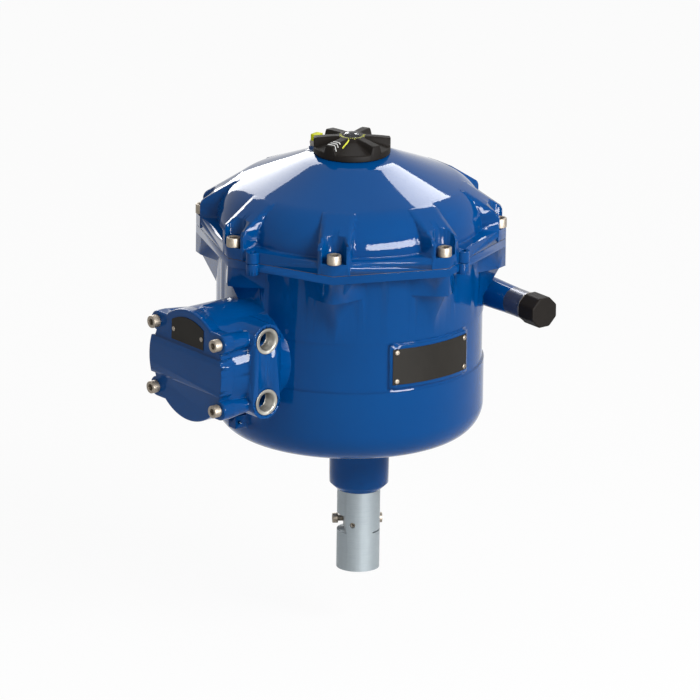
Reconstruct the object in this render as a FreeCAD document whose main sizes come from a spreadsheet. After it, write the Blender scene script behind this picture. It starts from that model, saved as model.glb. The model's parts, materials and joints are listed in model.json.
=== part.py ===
import FreeCAD, Part
import math
import os
import re
import Sketcher

Vector = FreeCAD.Vector
Rotation = FreeCAD.Rotation

# Electric valve actuator with a linear output.
# Millimetres, +Z up. The origin is on the output axis, in the flat underside of the housing.
# The housing's own axis lies axis_offset towards -X of the output axis.

SIZES = {
    # Housing drum
    "axis_offset": 18.6,
    "housing_height": 256.5,
    "drum_radius": 168.5,
    "band_radius": 167.2,
    "base_radius": 169.6,
    "base_top": 95.0,
    "band_top": 159.5,
    "base_fillet": 38.0,
    "cavity_radius": 158.0,
    "floor_thickness": 14.0,
    "cavity_fillet": 24.0,
    # Bolted joint of housing and cover
    "flange_radius": 196.0,
    "housing_flange": 10.5,
    "cover_flange": 14.2,
    "gasket_thickness": 0.8,
    "gasket_inner": 164.0,
    "gasket_margin": 0.8,
    "corner_depth": 36.0,
    "corner_reach": 30.4,
    "corner_root": 162.0,
    "corner_shoulder": 14.0,
    "gusset_radius": 190.0,
    "gusset_reach": 24.0,
    "gusset_depth": 76.5,
    "bolt_circle": 187.8,
    "bolt_radius": 6.0,
    "bolt_head_radius": 9.0,
    "bolt_head": 12.0,
    "bolt_length": 44.0,
    "bolt_socket": 5.0,
    "bolt_clearance": 0.4,
    "thread_gap": 0.15,
    "bolt_hole_depth": 34.0,
    "jack_circle": 186.5,
    "jack_angle": 10.2,
    "jack_radius": 8.5,
    "jack_hole": 4.0,
    "jack_drop": 3.5,
    # Top cover
    "cover_wall_radius": 169.0,
    "cone_angle": 21.9,
    "cone_top_radius": 48.0,
    "cover_height": 104.0,
    "cone_fillet": 55.0,
    "lug_radius": 190.0,
    "lug_width": 41.0,
    "lug_start": 146.0,
    "lug_angle": 33.0,
    "lug_fillet": 10.0,
    "lug_pocket_radius": 15.5,
    "cover_inner_radius": 154.0,
    "cover_thickness": 10.0,
    "cover_inner_fillet": 30.0,
    # Selector knob
    "knob_radius": 48.4,
    "knob_gap": 0.6,
    "knob_height": 22.0,
    "knob_skirt": 8.5,
    "knob_crown_radius": 17.0,
    "knob_crown": 20.0,
    "fin_width": 10.0,
    "fin_flare": 3.0,
    "fin_tilt": 22.0,
    "fin_rim": 0.8,
    "knob_edge": 1.4,
    "lens_radius": 11.0,
    "lens_rise": 4.0,
    "lens_seat": 3.0,
    "lens_gap": 0.3,
    "shaft_radius": 6.0,
    "shaft_flange_radius": 14.0,
    "shaft_flange": 4.0,
    "shaft_length": 34.0,
    "shaft_fit": 0.05,
    "seal_pocket_radius": 10.0,
    "seal_pocket_depth": 4.2,
    "seal_gap": 0.1,
    # Index tab behind the knob
    "tab_angle": 107.0,
    "tab_radius": 50.5,
    "tab_length": 9.0,
    "tab_width": 13.0,
    "tab_pad_top": 103.0,
    "tab_bracket_height": 7.0,
    "tab_height": 10.0,
    "tab_wall": 2.0,
    "tab_screw_radius": 2.5,
    "tab_screw_head_radius": 3.2,
    "tab_screw_head": 3.0,
    "tab_screw_depth": 7.0,
    # Terminal compartment, on the -X side
    "terminal_height": 127.9,
    "terminal_radius": 72.0,
    "terminal_joint": 243.5,
    "terminal_root": 120.0,
    "terminal_cavity_radius": 60.0,
    "terminal_cavity_end": 178.0,
    "ear_radius": 13.0,
    "ear_side": 62.5,
    "ear_rise": 43.0,
    "ear_start": 209.0,
    "ear_taper": 4.0,
    "terminal_cover_thickness": 15.5,
    "terminal_band_half": 24.0,
    "terminal_band": 3.5,
    "terminal_band_radius": 73.2,
    "terminal_edge": 2.5,
    "terminal_seal_radius": 66.0,
    "terminal_seal_wire": 2.0,
    "terminal_bolt_radius": 5.0,
    "terminal_bolt_head_radius": 8.0,
    "terminal_bolt_head": 10.0,
    "terminal_bolt_length": 34.0,
    "terminal_bolt_socket": 4.0,
    "label_half_width": 32.0,
    "label_bottom": 28.0,
    "label_arc": 62.0,
    "label_thickness": 0.8,
    "rivet_side": 28.0,
    "rivet_rise": 41.5,
    "rivet_radius": 1.8,
    "rivet_head": 0.9,
    "rivet_length": 5.0,
    "entry_back": 194.5,
    "entry_rise": 40.0,
    "entry_face": 78.4,
    "entry_pad_radius": 22.0,
    "entry_bore": 11.7,
    "entry_step": 1.5,
    "entry_ring_radius": 16.8,
    "entry_ring_proud": 1.0,
    "entry_ring_depth": 17.0,
    "entry_ring_gap": 0.1,
    "earth_height": 40.5,
    "earth_reach": 187.0,
    "earth_root": 150.0,
    "earth_hole_reach": 181.0,
    "earth_width": 14.0,
    "earth_tall": 16.0,
    "earth_hole": 2.5,
    # Rating plate on the -Y side
    "plate_height": 129.1,
    "plate_pad_radius": 170.8,
    "plate_pad_half_angle": 21.3,
    "plate_pad_half_height": 27.5,
    "plate_half_angle": 20.0,
    "plate_half_height": 23.2,
    "plate_thickness": 1.0,
    "plate_screw_angle": 18.2,
    "plate_screw_rise": 18.8,
    "plate_screw_radius": 1.6,
    "plate_screw_head_radius": 3.2,
    "plate_screw_head": 1.6,
    "plate_screw_length": 8.0,
    # Hand drive, parallel to -Y
    "hand_offset": 120.0,
    "hand_height": 178.8,
    "hand_tube_root": 21.0,
    "hand_tube_tip": 17.6,
    "hand_tube_start": 60.0,
    "hand_tube_end": 156.0,
    "sleeve_radius": 17.5,
    "sleeve_bore": 12.5,
    "sleeve_start": 128.0,
    "sleeve_end": 206.0,
    "sleeve_spigot": 15.0,
    "sleeve_gap": 0.1,
    "sleeve_hole": 2.0,
    "sleeve_hole_reach": 177.0,
    "sleeve_collar_reach": 185.0,
    "sleeve_collar": 3.5,
    "sleeve_collar_radius": 18.4,
    "cap_radius": 20.0,
    "cap_start": 189.0,
    "cap_end": 218.0,
    "cap_bore_gap": 0.3,
    "cap_edge": 3.0,
    "cartridge_length": 40.0,
    "cartridge_start": 132.0,
    "cartridge_fit": 0.05,
    "hand_shaft_radius": 8.0,
    "hand_shaft_start": 50.0,
    "hand_shaft_end": 196.0,
    "hand_collar_radius": 11.0,
    "hand_collar": 4.0,
    "hand_collar_gap": 0.3,
    "hex_flats": 11.0,
    "hex_length": 18.0,
    "jaw_radius": 9.0,
    "jaw_gap": 6.0,
    "jaw_depth": 6.0,
    "jaw_width": 6.0,
    "jaw_fit": 0.4,
    # Output below the housing
    "boss_radius": 38.4,
    "boss_tip_radius": 37.5,
    "boss_drop": 85.5,
    "boss_chamfer": 9.0,
    "tube_radius": 27.2,
    "tube_bottom": 189.5,
    "tube_top": 40.0,
    "tube_bore": 15.0,
    "tube_bore_end": 95.0,
    "stem_bore": 10.0,
    "stem_depth": 78.0,
    "tube_fit": 0.05,
    "bush_wall": 4.2,
    "bush_gap": 0.1,
    "bush_top": 6.0,
    "boss_lip": 5.0,
    "lip_gap": 0.8,
    "wiper_height": 5.0,
    "wiper_gap": 0.2,
    "slit_drop": 139.5,
    "slit": 2.0,
    "slit_front": 21.5,
    "notch_drop": 128.6,
    "notch_height": 21.5,
    "notch_flat": 17.7,
    "notch_front": 21.0,
    "notch_back": 8.0,
    "pinch_drop": 132.0,
    "pinch_offset": 18.5,
    "pinch_radius": 4.0,
    "pinch_head_radius": 6.5,
    "pinch_head": 7.0,
    "pinch_stand": 24.5,
    "pinch_length": 20.0,
    "pinch_socket": 3.0,
    "clamp_angle": 56.0,
    "set_screw_drop": 128.5,
    "set_screw_radius": 3.5,
    "set_screw_length": 12.0,
    "set_screw_angle": -145.0,
    # Yoke and wall mounts
    "yoke_circle": 70.0,
    "yoke_hole": 7.0,
    "yoke_depth": 11.0,
    # Screw, nut and gears
    "screw_radius": 12.5,
    "screw_bottom": 60.0,
    "screw_top": 168.0,
    "screw_groove": 1.0,
    "journal_radius": 11.0,
    "running_fit": 0.06,
    "nut_radius": 24.0,
    "nut_height": 48.0,
    "carrier_radius": 30.0,
    "carrier_thickness": 8.0,
    "rod_offset": 46.0,
    "rod_radius": 6.0,
    "rod_arm": 11.0,
    "plate_bottom": 128.0,
    "plate_depth": 10.0,
    "bearing_plate_radius": 152.0,
    "bearing_radius": 26.0,
    "bearing_height": 14.0,
    "seat_gap": 0.1,
    "gear_bottom": 143.0,
    "gear_thickness": 12.0,
    "gear_module": 2.5,
    "wheel_teeth": 84,
    "pinion_teeth": 12,
    "pressure_angle": 25.0,
    "tooth_backlash": 0.16,
    "web_thickness": 6.0,
    "hub_radius": 22.0,
    "rim_width": 10.0,
    "locknut_radius": 17.0,
    "locknut_height": 8.0,
    "mitre_teeth": 12,
    "mitre_radius": 16.0,
    "mitre_inner": 0.62,
    "lay_radius": 5.0,
    "lay_bottom": 129.0,
    "spindle_radius": 5.0,
    "bracket_inner": 11.0,
    "bracket_outer": 11.0,
    "bracket_depth": 12.0,
    "bracket_start": 22.0,
    # Motor
    "motor_radius": 46.0,
    "motor_length": 82.0,
    "motor_wall": 8.0,
    "motor_cap": 8.0,
    "motor_shaft": 7.0,
    "stator_inner": 27.0,
    "stator_length": 52.0,
    "rotor_radius": 26.4,
    # Carriers of the inside
    "post_radius": 7.0,
    "post_circle": 122.0,
    "plate_bolt_radius": 3.0,
    "plate_bolt_head_radius": 5.5,
    "plate_bolt_head": 4.4,
    "plate_bolt_length": 26.0,
    "board_height": 214.0,
    "board_thickness": 2.0,
    "board_radius": 147.0,
    "board_post_circle": 140.0,
    "board_post_radius": 5.0,
    "capacitor_radius": 15.0,
    "capacitor_length": 38.0,
    "capacitor_step": 34.0,
    "switch_length": 26.0,
    "switch_height": 12.0,
    "switch_gap": 0.4,
    "switch_post_radius": 2.5,
    "switch_post_side": 10.0,
    "sensor_radius": 9.0,
    "sensor_gap": 1.5,
    "block_length": 84.0,
    "block_height": 34.0,
    "block_depth": 22.0,
    "block_ways": 8,
    "block_screw_radius": 3.0,
}

doc = FreeCAD.newDocument("valve_actuator")
dims = doc.addObject("Spreadsheet::Sheet", "Dims")
for row, (alias, number) in enumerate(SIZES.items(), start=1):
    dims.set("A%d" % row, alias)
    dims.set("B%d" % row, str(number))
    dims.setAlias("B%d" % row, alias)
doc.recompute()

# Heights and places that several pieces share, as formulas on the sheet
HOUSING_AXIS = "-axis_offset"
COVER_BASE = "housing_height + gasket_thickness"
COVER_FLANGE_TOP = "housing_height + gasket_thickness + cover_flange"
COVER_TOP = "housing_height + cover_height"
KNOB_BASE = "housing_height + cover_height + knob_gap"
TERMINAL_FACE = "-axis_offset - terminal_joint"
PLATE_TOP = "plate_bottom + plate_depth"
GEAR_DISTANCE = "gear_module * (wheel_teeth + pinion_teeth) / 2"

# Turns that lay a piece's own +Z along another direction
UPRIGHT = ((0, 0, 1), 0)
TO_MINUS_Y = ((1, 0, 0), 90)
TO_PLUS_Y = ((1, 0, 0), -90)
TO_MINUS_X = ((0, 1, 0), -90)
TO_MINUS_Z = ((1, 0, 0), 180)
# Half a corner on, so that no turned face closes on itself inside a lug
BETWEEN_CORNERS = ((0, 0, 1), 22.5)

CORNER_ANGLES = range(0, 360, 45)
ALIAS = re.compile(r"[a-z][a-z_]*")
nodes = {}


def link(formula):
    """Write a formula on the sheet's words as an expression of the document."""
    return ALIAS.sub(lambda word: "Dims." + word[0] if word[0] in SIZES else word[0], str(formula))


def value(formula):
    return float(dims.evalExpression(str(formula)))


def bind(item, **formulas):
    for name, formula in formulas.items():
        item.setExpression(name, link(formula))
    return item


def place(item, x=0, y=0, z=0, turn=UPRIGHT):
    item.Placement = FreeCAD.Placement(Vector(), Rotation(Vector(*turn[0]), turn[1]))
    for letter, formula in zip("xyz", (x, y, z)):
        item.setExpression(".Placement.Base." + letter, link(formula))
    return item


def node(name, item):
    """Keep a finished piece under the name of its own file."""
    item.Label = name
    nodes[name] = item
    return item


def cylinder(name, radius, height, x=0, y=0, z=0, turn=UPRIGHT):
    item = bind(doc.addObject("Part::Cylinder", name), Radius=radius, Height=height)
    return place(item, x, y, z, turn)


def cone(name, radius, end_radius, height, x=0, y=0, z=0, turn=UPRIGHT):
    item = bind(doc.addObject("Part::Cone", name), Radius1=radius, Radius2=end_radius, Height=height)
    return place(item, x, y, z, turn)


def box(name, length, width, height, x=0, y=0, z=0, turn=UPRIGHT):
    item = bind(doc.addObject("Part::Box", name), Length=length, Width=width, Height=height)
    return place(item, x, y, z, turn)


def octagon(name, radius, height, x=0, y=0, z=0):
    item = bind(doc.addObject("Part::Prism", name), Circumradius=radius, Height=height)
    item.Polygon = 8
    return place(item, x, y, z)


def cut(name, base, *tools):
    item = doc.addObject("Part::Cut", name)
    item.Base = base
    item.Tool = tools[0] if len(tools) == 1 else fuse(name + "_tools", *tools)
    item.Refine = True
    return item


def fuse(name, *shapes):
    item = doc.addObject("Part::MultiFuse", name)
    item.Shapes = list(shapes)
    item.Refine = True
    return item


def common(name, *shapes):
    item = doc.addObject("Part::MultiCommon", name)
    item.Shapes = list(shapes)
    item.Refine = True
    return item


def tube(name, radius, bore, height, x=0, y=0, z=0, turn=UPRIGHT):
    outer = cylinder(name + "_outer", radius, height, x, y, z, turn)
    inner = cylinder(name + "_bore", bore, height, x, y, z, turn)
    return cut(name, outer, inner)


def around(make, angles, radius, x=HOUSING_AXIS):
    """Make one copy of a piece at each angle of a circle; make gets a number and the place."""
    copies = []
    for number, angle in enumerate(angles):
        place_x = "%s + (%s) * cos(%s)" % (x, radius, angle)
        place_y = "(%s) * sin(%s)" % (radius, angle)
        copies.append(make(number, place_x, place_y))
    return copies


def feature(name, shape):
    item = doc.addObject("Part::Feature", name)
    item.Shape = shape
    return item


def group(name, master, places):
    """Put copies of one finished piece at several places, as separate solids of one node."""
    doc.recompute()
    solids = []
    for placement in places:
        solid = master.Shape.copy()
        solid.Placement = placement.multiply(solid.Placement)
        solids.append(solid)
    return feature(name, Part.makeCompound(solids))


def spot(x=0, y=0, z=0, turn=UPRIGHT):
    point = Vector(value(x), value(y), value(z))
    return FreeCAD.Placement(point, Rotation(Vector(*turn[0]), turn[1]))


# Sketches and part design bodies
def new_body(name, x=0, y=0, z=0, turn=UPRIGHT):
    return place(doc.addObject("PartDesign::Body", name), x, y, z, turn)


def origin_part(body, role):
    return next(item for item in body.Origin.OriginFeatures if item.Role == role)


def new_sketch(body, name, role, offset=0):
    sketch = body.newObject("Sketcher::SketchObject", name)
    sketch.AttachmentSupport = (origin_part(body, role), "")
    sketch.MapMode = "FlatFace"
    sketch.setExpression(".AttachmentOffset.Base.z", link(offset))
    return sketch


def hold(sketch, kind, item, formula, point=1):
    if kind == "Radius":
        rule = Sketcher.Constraint(kind, item, value(formula))
    else:
        rule = Sketcher.Constraint(kind, -1, 1, item, point, value(formula))
    number = sketch.addConstraint(rule)
    sketch.setExpression("Constraints[%d]" % number, link(formula))


def outline(sketch, points):
    """Draw a closed outline of straight runs, each corner held at its own two distances."""
    corners = [Vector(value(x), value(y), 0) for x, y in points]
    first = sketch.GeometryCount
    for number, corner in enumerate(corners):
        sketch.addGeometry(Part.LineSegment(corner, corners[(number + 1) % len(corners)]), False)
    for number, (x, y) in enumerate(points):
        after = first + (number + 1) % len(corners)
        sketch.addConstraint(Sketcher.Constraint("Coincident", first + number, 2, after, 1))
        hold(sketch, "DistanceX", first + number, x)
        hold(sketch, "DistanceY", first + number, y)
    return sketch


def ring(sketch, radius, x=0, y=0):
    centre = Vector(value(x), value(y), 0)
    number = sketch.addGeometry(Part.Circle(centre, Vector(0, 0, 1), value(radius)), False)
    hold(sketch, "DistanceX", number, x, 3)
    hold(sketch, "DistanceY", number, y, 3)
    hold(sketch, "Radius", number, radius)
    return sketch


def revolve(body, name, points):
    sketch = outline(new_sketch(body, name + "_sketch", "XZ_Plane"), points)
    item = body.newObject("PartDesign::Revolution", name)
    item.Profile = sketch
    item.ReferenceAxis = (sketch, ["V_Axis"])
    item.Angle = 360
    doc.recompute()
    return item


def pad(body, name, sketch, length, reverse=False):
    item = body.newObject("PartDesign::Pad", name)
    item.Profile = sketch
    item.Reversed = reverse
    bind(item, Length=length)
    doc.recompute()
    return item


def pocket(body, name, sketch, length, reverse=False):
    """Cut a sketch's outline into the body, and make sure that it did cut."""
    before = body.Shape.Volume
    item = body.newObject("PartDesign::Pocket", name)
    item.Profile = sketch
    item.Reversed = reverse
    bind(item, Length=length)
    doc.recompute()
    if not item.Shape.Volume < before - 1e-6:
        raise RuntimeError(name + " cuts nothing")
    return item


def polar(body, name, original, copies):
    item = body.newObject("PartDesign::PolarPattern", name)
    item.Originals = [original]
    item.Axis = (origin_part(body, "Z_Axis"), [""])
    item.Angle = 360
    item.Occurrences = copies
    body.Tip = item
    doc.recompute()
    return item


def edge_names(shape, chosen):
    return ["Edge%d" % (number + 1) for number, edge in enumerate(shape.Edges) if chosen(edge)]


def round_edges(body, name, radius, chosen, kind="PartDesign::Fillet"):
    base = body.Tip
    item = body.newObject(kind, name)
    item.Base = (base, edge_names(base.Shape, chosen))
    bind(item, **{"Radius" if kind == "PartDesign::Fillet" else "Size": radius})
    body.Tip = item
    doc.recompute()
    return item


def fillet(name, base, radius, chosen):
    """Round the chosen edges of a finished boolean."""
    doc.recompute()
    item = doc.addObject("Part::Fillet", name)
    item.Base = base
    item.Edges = [(int(edge[4:]), value(radius), value(radius)) for edge in edge_names(base.Shape, chosen)]
    return item


def circle_at(radius, height, slack=0.02):
    """Choose the round edges about +Z with one radius at one height."""
    def chosen(edge):
        curve = edge.Curve
        if not isinstance(curve, Part.Circle):
            return False
        level = abs(edge.Vertexes[0].Z - value(height)) < slack
        return level and abs(curve.Radius - value(radius)) < slack
    return chosen


def socket_screw(name, radius, length, head_radius, head, socket):
    """A hexagon socket cap screw: its seat at the origin, its head up."""
    body = new_body(name)
    revolve(body, name + "_turned", [
        ("0", "-(%s)" % length),
        ("%s * 0.8" % radius, "-(%s)" % length),
        (radius, "-(%s) + %s * 0.4" % (length, radius)),
        (radius, "0"),
        (head_radius, "0"),
        (head_radius, "%s * 0.93" % head),
        ("%s * 0.92" % head_radius, head),
        ("0", head),
    ])
    corners = []
    for angle in range(0, 360, 60):
        corners.append(("%s / cos(30) * cos(%d)" % (socket, angle), "%s / cos(30) * sin(%d)" % (socket, angle)))
    sketch = outline(new_sketch(body, name + "_hex", "XY_Plane", head), corners)
    pocket(body, name + "_socket", sketch, "%s * 0.55" % head)
    return body


# Housing: drum, octagonal flange, corner blocks, terminal neck, hand drive tube and output boss
def corner_slabs(name, profile_name, points, width):
    """Radial slabs at the eight corners, one side profile swept across the slab's width."""
    body = new_body(name, HOUSING_AXIS)
    sketch = outline(new_sketch(body, profile_name, "XZ_Plane", "-(%s) / 2" % width), points)
    slab = pad(body, name + "_pad", sketch, width)
    polar(body, name + "_pattern", slab, len(CORNER_ANGLES))
    return body


def corner_blocks():
    """A block under each corner of the flange, its plan a wedge that runs out in the drum."""
    body = new_body("corner_block", HOUSING_AXIS, 0, "housing_height - corner_depth")
    slope = "(flange_radius - corner_root) / (flange_radius - drum_radius) * corner_reach"
    sketch = outline(new_sketch(body, "corner_block_plan", "XY_Plane"), [
        ("corner_root", "-" + slope),
        ("bolt_circle", "-corner_shoulder"),
        ("flange_radius", "0"),
        ("bolt_circle", "corner_shoulder"),
        ("corner_root", slope),
    ])
    block = pad(body, "corner_block_pad", sketch, "corner_depth")
    polar(body, "corner_block_pattern", block, len(CORNER_ANGLES))
    return body


def gussets():
    """Below each block a pyramid on its head, whose tip runs out in the drum's wall."""
    scale = value("(gusset_radius - corner_root) / (gusset_radius - drum_radius)")
    top = value("housing_height - corner_depth")
    reach = value("gusset_reach") * scale
    drop = value("gusset_depth - corner_depth") * scale
    tip = Vector(value("gusset_radius"), 0, top)
    root = value("corner_root")
    near, far, low = Vector(root, -reach, top), Vector(root, reach, top), Vector(root, 0, top - drop)
    faces = []
    for corners in ((near, tip, far), (near, low, tip), (far, tip, low), (near, far, low)):
        faces.append(Part.Face(Part.makePolygon(list(corners) + [corners[0]])))
    pyramid = Part.makeSolid(Part.makeShell(faces))
    if pyramid.Volume < 0:
        pyramid.reverse()
    copies = []
    for number, angle in enumerate(CORNER_ANGLES):
        copy = pyramid.copy()
        copy.Placement = spot(HOUSING_AXIS, turn=((0, 0, 1), angle))
        copies.append(feature("gusset_%d" % number, copy))
    return copies


def housing_outside():
    drum = new_body("drum", HOUSING_AXIS)
    revolve(drum, "drum_turned", [
        ("0", "0"),
        ("base_radius", "0"),
        ("base_radius", "base_top"),
        ("band_radius", "base_top + 1"),
        ("band_radius", "band_top"),
        ("drum_radius", "band_top + 1"),
        ("drum_radius", "housing_height - housing_flange"),
        ("drum_radius", "housing_height"),
        ("0", "housing_height"),
    ])
    round_edges(drum, "drum_foot", "base_fillet", circle_at("base_radius", "0"))
    flange = octagon("housing_flange_plate", "flange_radius", "housing_flange", HOUSING_AXIS, 0,
                     "housing_height - housing_flange")
    return [drum, flange, corner_blocks()] + gussets()


def jack_bosses(name, bottom, height, radius):
    def boss(number, x, y):
        return cylinder("%s_%d" % (name, number), radius, height, x, y, bottom)
    angles = ["%d + jack_angle" % corner for corner in range(0, 360, 90)]
    return around(boss, angles, "jack_circle")


def terminal_neck():
    neck = cylinder("terminal_neck", "terminal_radius", "terminal_joint - terminal_root",
                    "-axis_offset - terminal_root", 0, "terminal_height", TO_MINUS_X)
    pieces = [neck]
    for side in (-1, 1):
        for rise in (-1, 1):
            mark = "%s%s" % ("near" if side < 0 else "far", "_low" if rise < 0 else "_high")
            y = "%d * ear_side" % side
            z = "terminal_height + %d * ear_rise" % rise
            pieces.append(cone("ear_" + mark, "ear_radius - ear_taper", "ear_radius",
                               "terminal_joint - ear_start", "-axis_offset - ear_start", y, z, TO_MINUS_X))
            pieces.append(box("ear_web_" + mark, "terminal_joint - ear_start", "ear_side", "ear_radius",
                              "-axis_offset - terminal_joint", "min(0; %s)" % y,
                              "%s - ear_radius / 2" % z))
    for rise in (-1, 1):
        pieces.append(cylinder("entry_pad_%s" % ("low" if rise < 0 else "high"), "entry_pad_radius",
                               "entry_face", "-axis_offset - entry_back", 0,
                               "terminal_height + %d * entry_rise" % rise, TO_MINUS_Y))
    pieces.append(box("entry_pad_middle", "2 * entry_pad_radius", "entry_face", "2 * entry_rise",
                      "-axis_offset - entry_back - entry_pad_radius", "-entry_face",
                      "terminal_height - entry_rise"))
    return pieces


def plate_sector(name, radius, half_angle, half_height):
    item = cylinder(name, radius, "2 * (%s)" % half_height, HOUSING_AXIS, 0,
                    "plate_height - (%s)" % half_height, ((0, 0, 1), -90))
    bind(item, Angle="2 * (%s)" % half_angle)
    item.setExpression(".Placement.Rotation.Angle", link("-90 - (%s)" % half_angle))
    return item


def housing():
    outside = fuse(
        "housing_outside",
        *housing_outside(),
        *jack_bosses("jack_boss", "housing_height - housing_flange - jack_drop",
                     "housing_flange + jack_drop", "jack_radius"),
        *terminal_neck(),
        plate_sector("plate_pad", "plate_pad_radius", "plate_pad_half_angle", "plate_pad_half_height"),
        cone("hand_tube", "hand_tube_root", "hand_tube_tip", "hand_tube_end - hand_tube_start",
             "hand_offset", "-hand_tube_start", "hand_height", TO_MINUS_Y),
        box("earth_lug", "earth_reach - earth_root", "earth_width", "earth_tall",
            "-axis_offset - earth_reach", "-earth_width / 2", "earth_height - earth_tall / 2"),
        cone("output_boss", "boss_radius", "boss_tip_radius", "boss_drop - boss_chamfer",
             0, 0, "0", TO_MINUS_Z),
        cone("output_boss_tip", "boss_tip_radius", "boss_tip_radius - boss_chamfer", "boss_chamfer",
             0, 0, "boss_chamfer - boss_drop", TO_MINUS_Z),
        cylinder("output_boss_root", "boss_radius", "floor_thickness", 0, 0, 0),
    )
    cavity = new_body("housing_cavity", HOUSING_AXIS)
    revolve(cavity, "housing_cavity_turned", [
        ("0", "floor_thickness"),
        ("cavity_radius", "floor_thickness"),
        ("cavity_radius", "housing_height + 1"),
        ("0", "housing_height + 1"),
    ])
    round_edges(cavity, "cavity_foot", "cavity_fillet", circle_at("cavity_radius", "floor_thickness"))
    holes = [cavity]
    holes.append(cylinder("terminal_cavity", "terminal_cavity_radius",
                          "terminal_joint - terminal_cavity_end + 1",
                          "-axis_offset - terminal_cavity_end", 0, "terminal_height", TO_MINUS_X))
    holes.append(tube("seal_groove", "terminal_seal_radius + terminal_seal_wire + seal_gap",
                      "terminal_seal_radius - terminal_seal_wire - seal_gap",
                      "2 * (terminal_seal_wire + seal_gap) + 1",
                      "-axis_offset - terminal_joint + 2 * (terminal_seal_wire + seal_gap)", 0,
                      "terminal_height", TO_MINUS_X))
    for rise in (-1, 1):
        mark = "low" if rise < 0 else "high"
        z = "terminal_height + %d * entry_rise" % rise
        holes.append(cylinder("entry_hole_" + mark, "entry_bore - entry_step", "entry_face + 1",
                              "-axis_offset - entry_back", 0, z, TO_MINUS_Y))
        holes.append(cylinder("entry_seat_" + mark, "entry_ring_radius + entry_ring_gap",
                              "entry_ring_depth + 1", "-axis_offset - entry_back",
                              "entry_ring_depth - entry_face", z, TO_MINUS_Y))
        for side in (-1, 1):
            holes.append(cylinder("terminal_thread_%s_%s" % (mark, "near" if side < 0 else "far"),
                                  "terminal_bolt_radius + thread_gap",
                                  "terminal_bolt_length - terminal_cover_thickness + 3",
                                  "-axis_offset - terminal_joint + terminal_bolt_length"
                                  " - terminal_cover_thickness + 2",
                                  "%d * ear_side" % side, "terminal_height + %d * ear_rise" % rise,
                                  TO_MINUS_X))
    holes += around(lambda number, x, y: cylinder("bolt_thread_%d" % number, "bolt_radius + thread_gap",
                                                  "bolt_hole_depth + 1", x, y,
                                                  "housing_height - bolt_hole_depth"),
                    CORNER_ANGLES, "bolt_circle")
    holes += around(lambda number, x, y: cylinder("yoke_thread_%d" % number, "yoke_hole",
                                                  "yoke_depth + 1", x, y, "-1"),
                    range(45, 360, 90), "yoke_circle", "0")
    holes.append(cylinder("hand_bore", "sleeve_spigot + sleeve_gap",
                          "hand_tube_end - sleeve_start + 1", "hand_offset", "-sleeve_start",
                          "hand_height", TO_MINUS_Y))
    holes.append(cylinder("hand_bore_inner", "sleeve_bore", "sleeve_start", "hand_offset",
                          "-40", "hand_height", TO_MINUS_Y))
    holes.append(cylinder("output_bore", "tube_radius + tube_fit + bush_wall + bush_gap",
                          "boss_drop - boss_lip + floor_thickness + 1", 0, 0, "boss_lip - boss_drop"))
    holes.append(cylinder("output_mouth", "tube_radius + lip_gap", "boss_lip + 2", 0, 0,
                          "-boss_drop - 1"))
    holes.append(cylinder("earth_hole_cut", "earth_hole", "earth_width + 2",
                          "-axis_offset - earth_hole_reach", "earth_width / 2 + 1", "earth_height",
                          TO_MINUS_Y))
    for mark, angle, rise in plate_screw_spots():
        holes.append(cylinder("plate_screw_hole_" + mark, "plate_screw_radius + thread_gap",
                              "plate_screw_length + 2",
                              "-axis_offset + (plate_pad_radius - plate_screw_length - 1) * cos(%s)" % angle,
                              "(plate_pad_radius - plate_screw_length - 1) * sin(%s)" % angle,
                              "plate_height + (%s)" % rise, radial_turn(angle)))
    return cut("housing_body", outside, *holes)


def plate_screw_spots():
    spots = []
    for side in (-1, 1):
        for rise in (-1, 1):
            mark = "%s_%s" % ("left" if side < 0 else "right", "low" if rise < 0 else "high")
            spots.append((mark, "-90 + %d * plate_screw_angle" % side, "%d * plate_screw_rise" % rise))
    return spots


def radial_turn(angle):
    """Turn a piece's own +Z outwards along one angle of the drum."""
    turn = Rotation(Vector(0, 0, 1), value(angle)).multiply(Rotation(Vector(0, 1, 0), 90))
    return (tuple(turn.Axis), math.degrees(turn.Angle))


node("housing", housing())

# Flange gasket
gasket_plate = octagon("gasket_plate", "flange_radius - gasket_margin", "gasket_thickness",
                       HOUSING_AXIS, 0, "housing_height")
gasket_holes = around(lambda number, x, y: cylinder("gasket_hole_%d" % number,
                                                    "bolt_radius + bolt_clearance",
                                                    "gasket_thickness + 2", x, y, "housing_height - 1"),
                      CORNER_ANGLES, "bolt_circle")
gasket_opening = cylinder("gasket_opening", "gasket_inner", "gasket_thickness + 2", HOUSING_AXIS, 0,
                          "housing_height - 1")
node("flange_gasket", cut("gasket_cut", gasket_plate, gasket_opening, *gasket_holes))


# Top cover: coned shell, eight lugs with screw pockets, octagonal flange
def cone_height(radius):
    return "cover_height - gasket_thickness - ((%s) - cone_top_radius) * tan(cone_angle)" % radius


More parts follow.
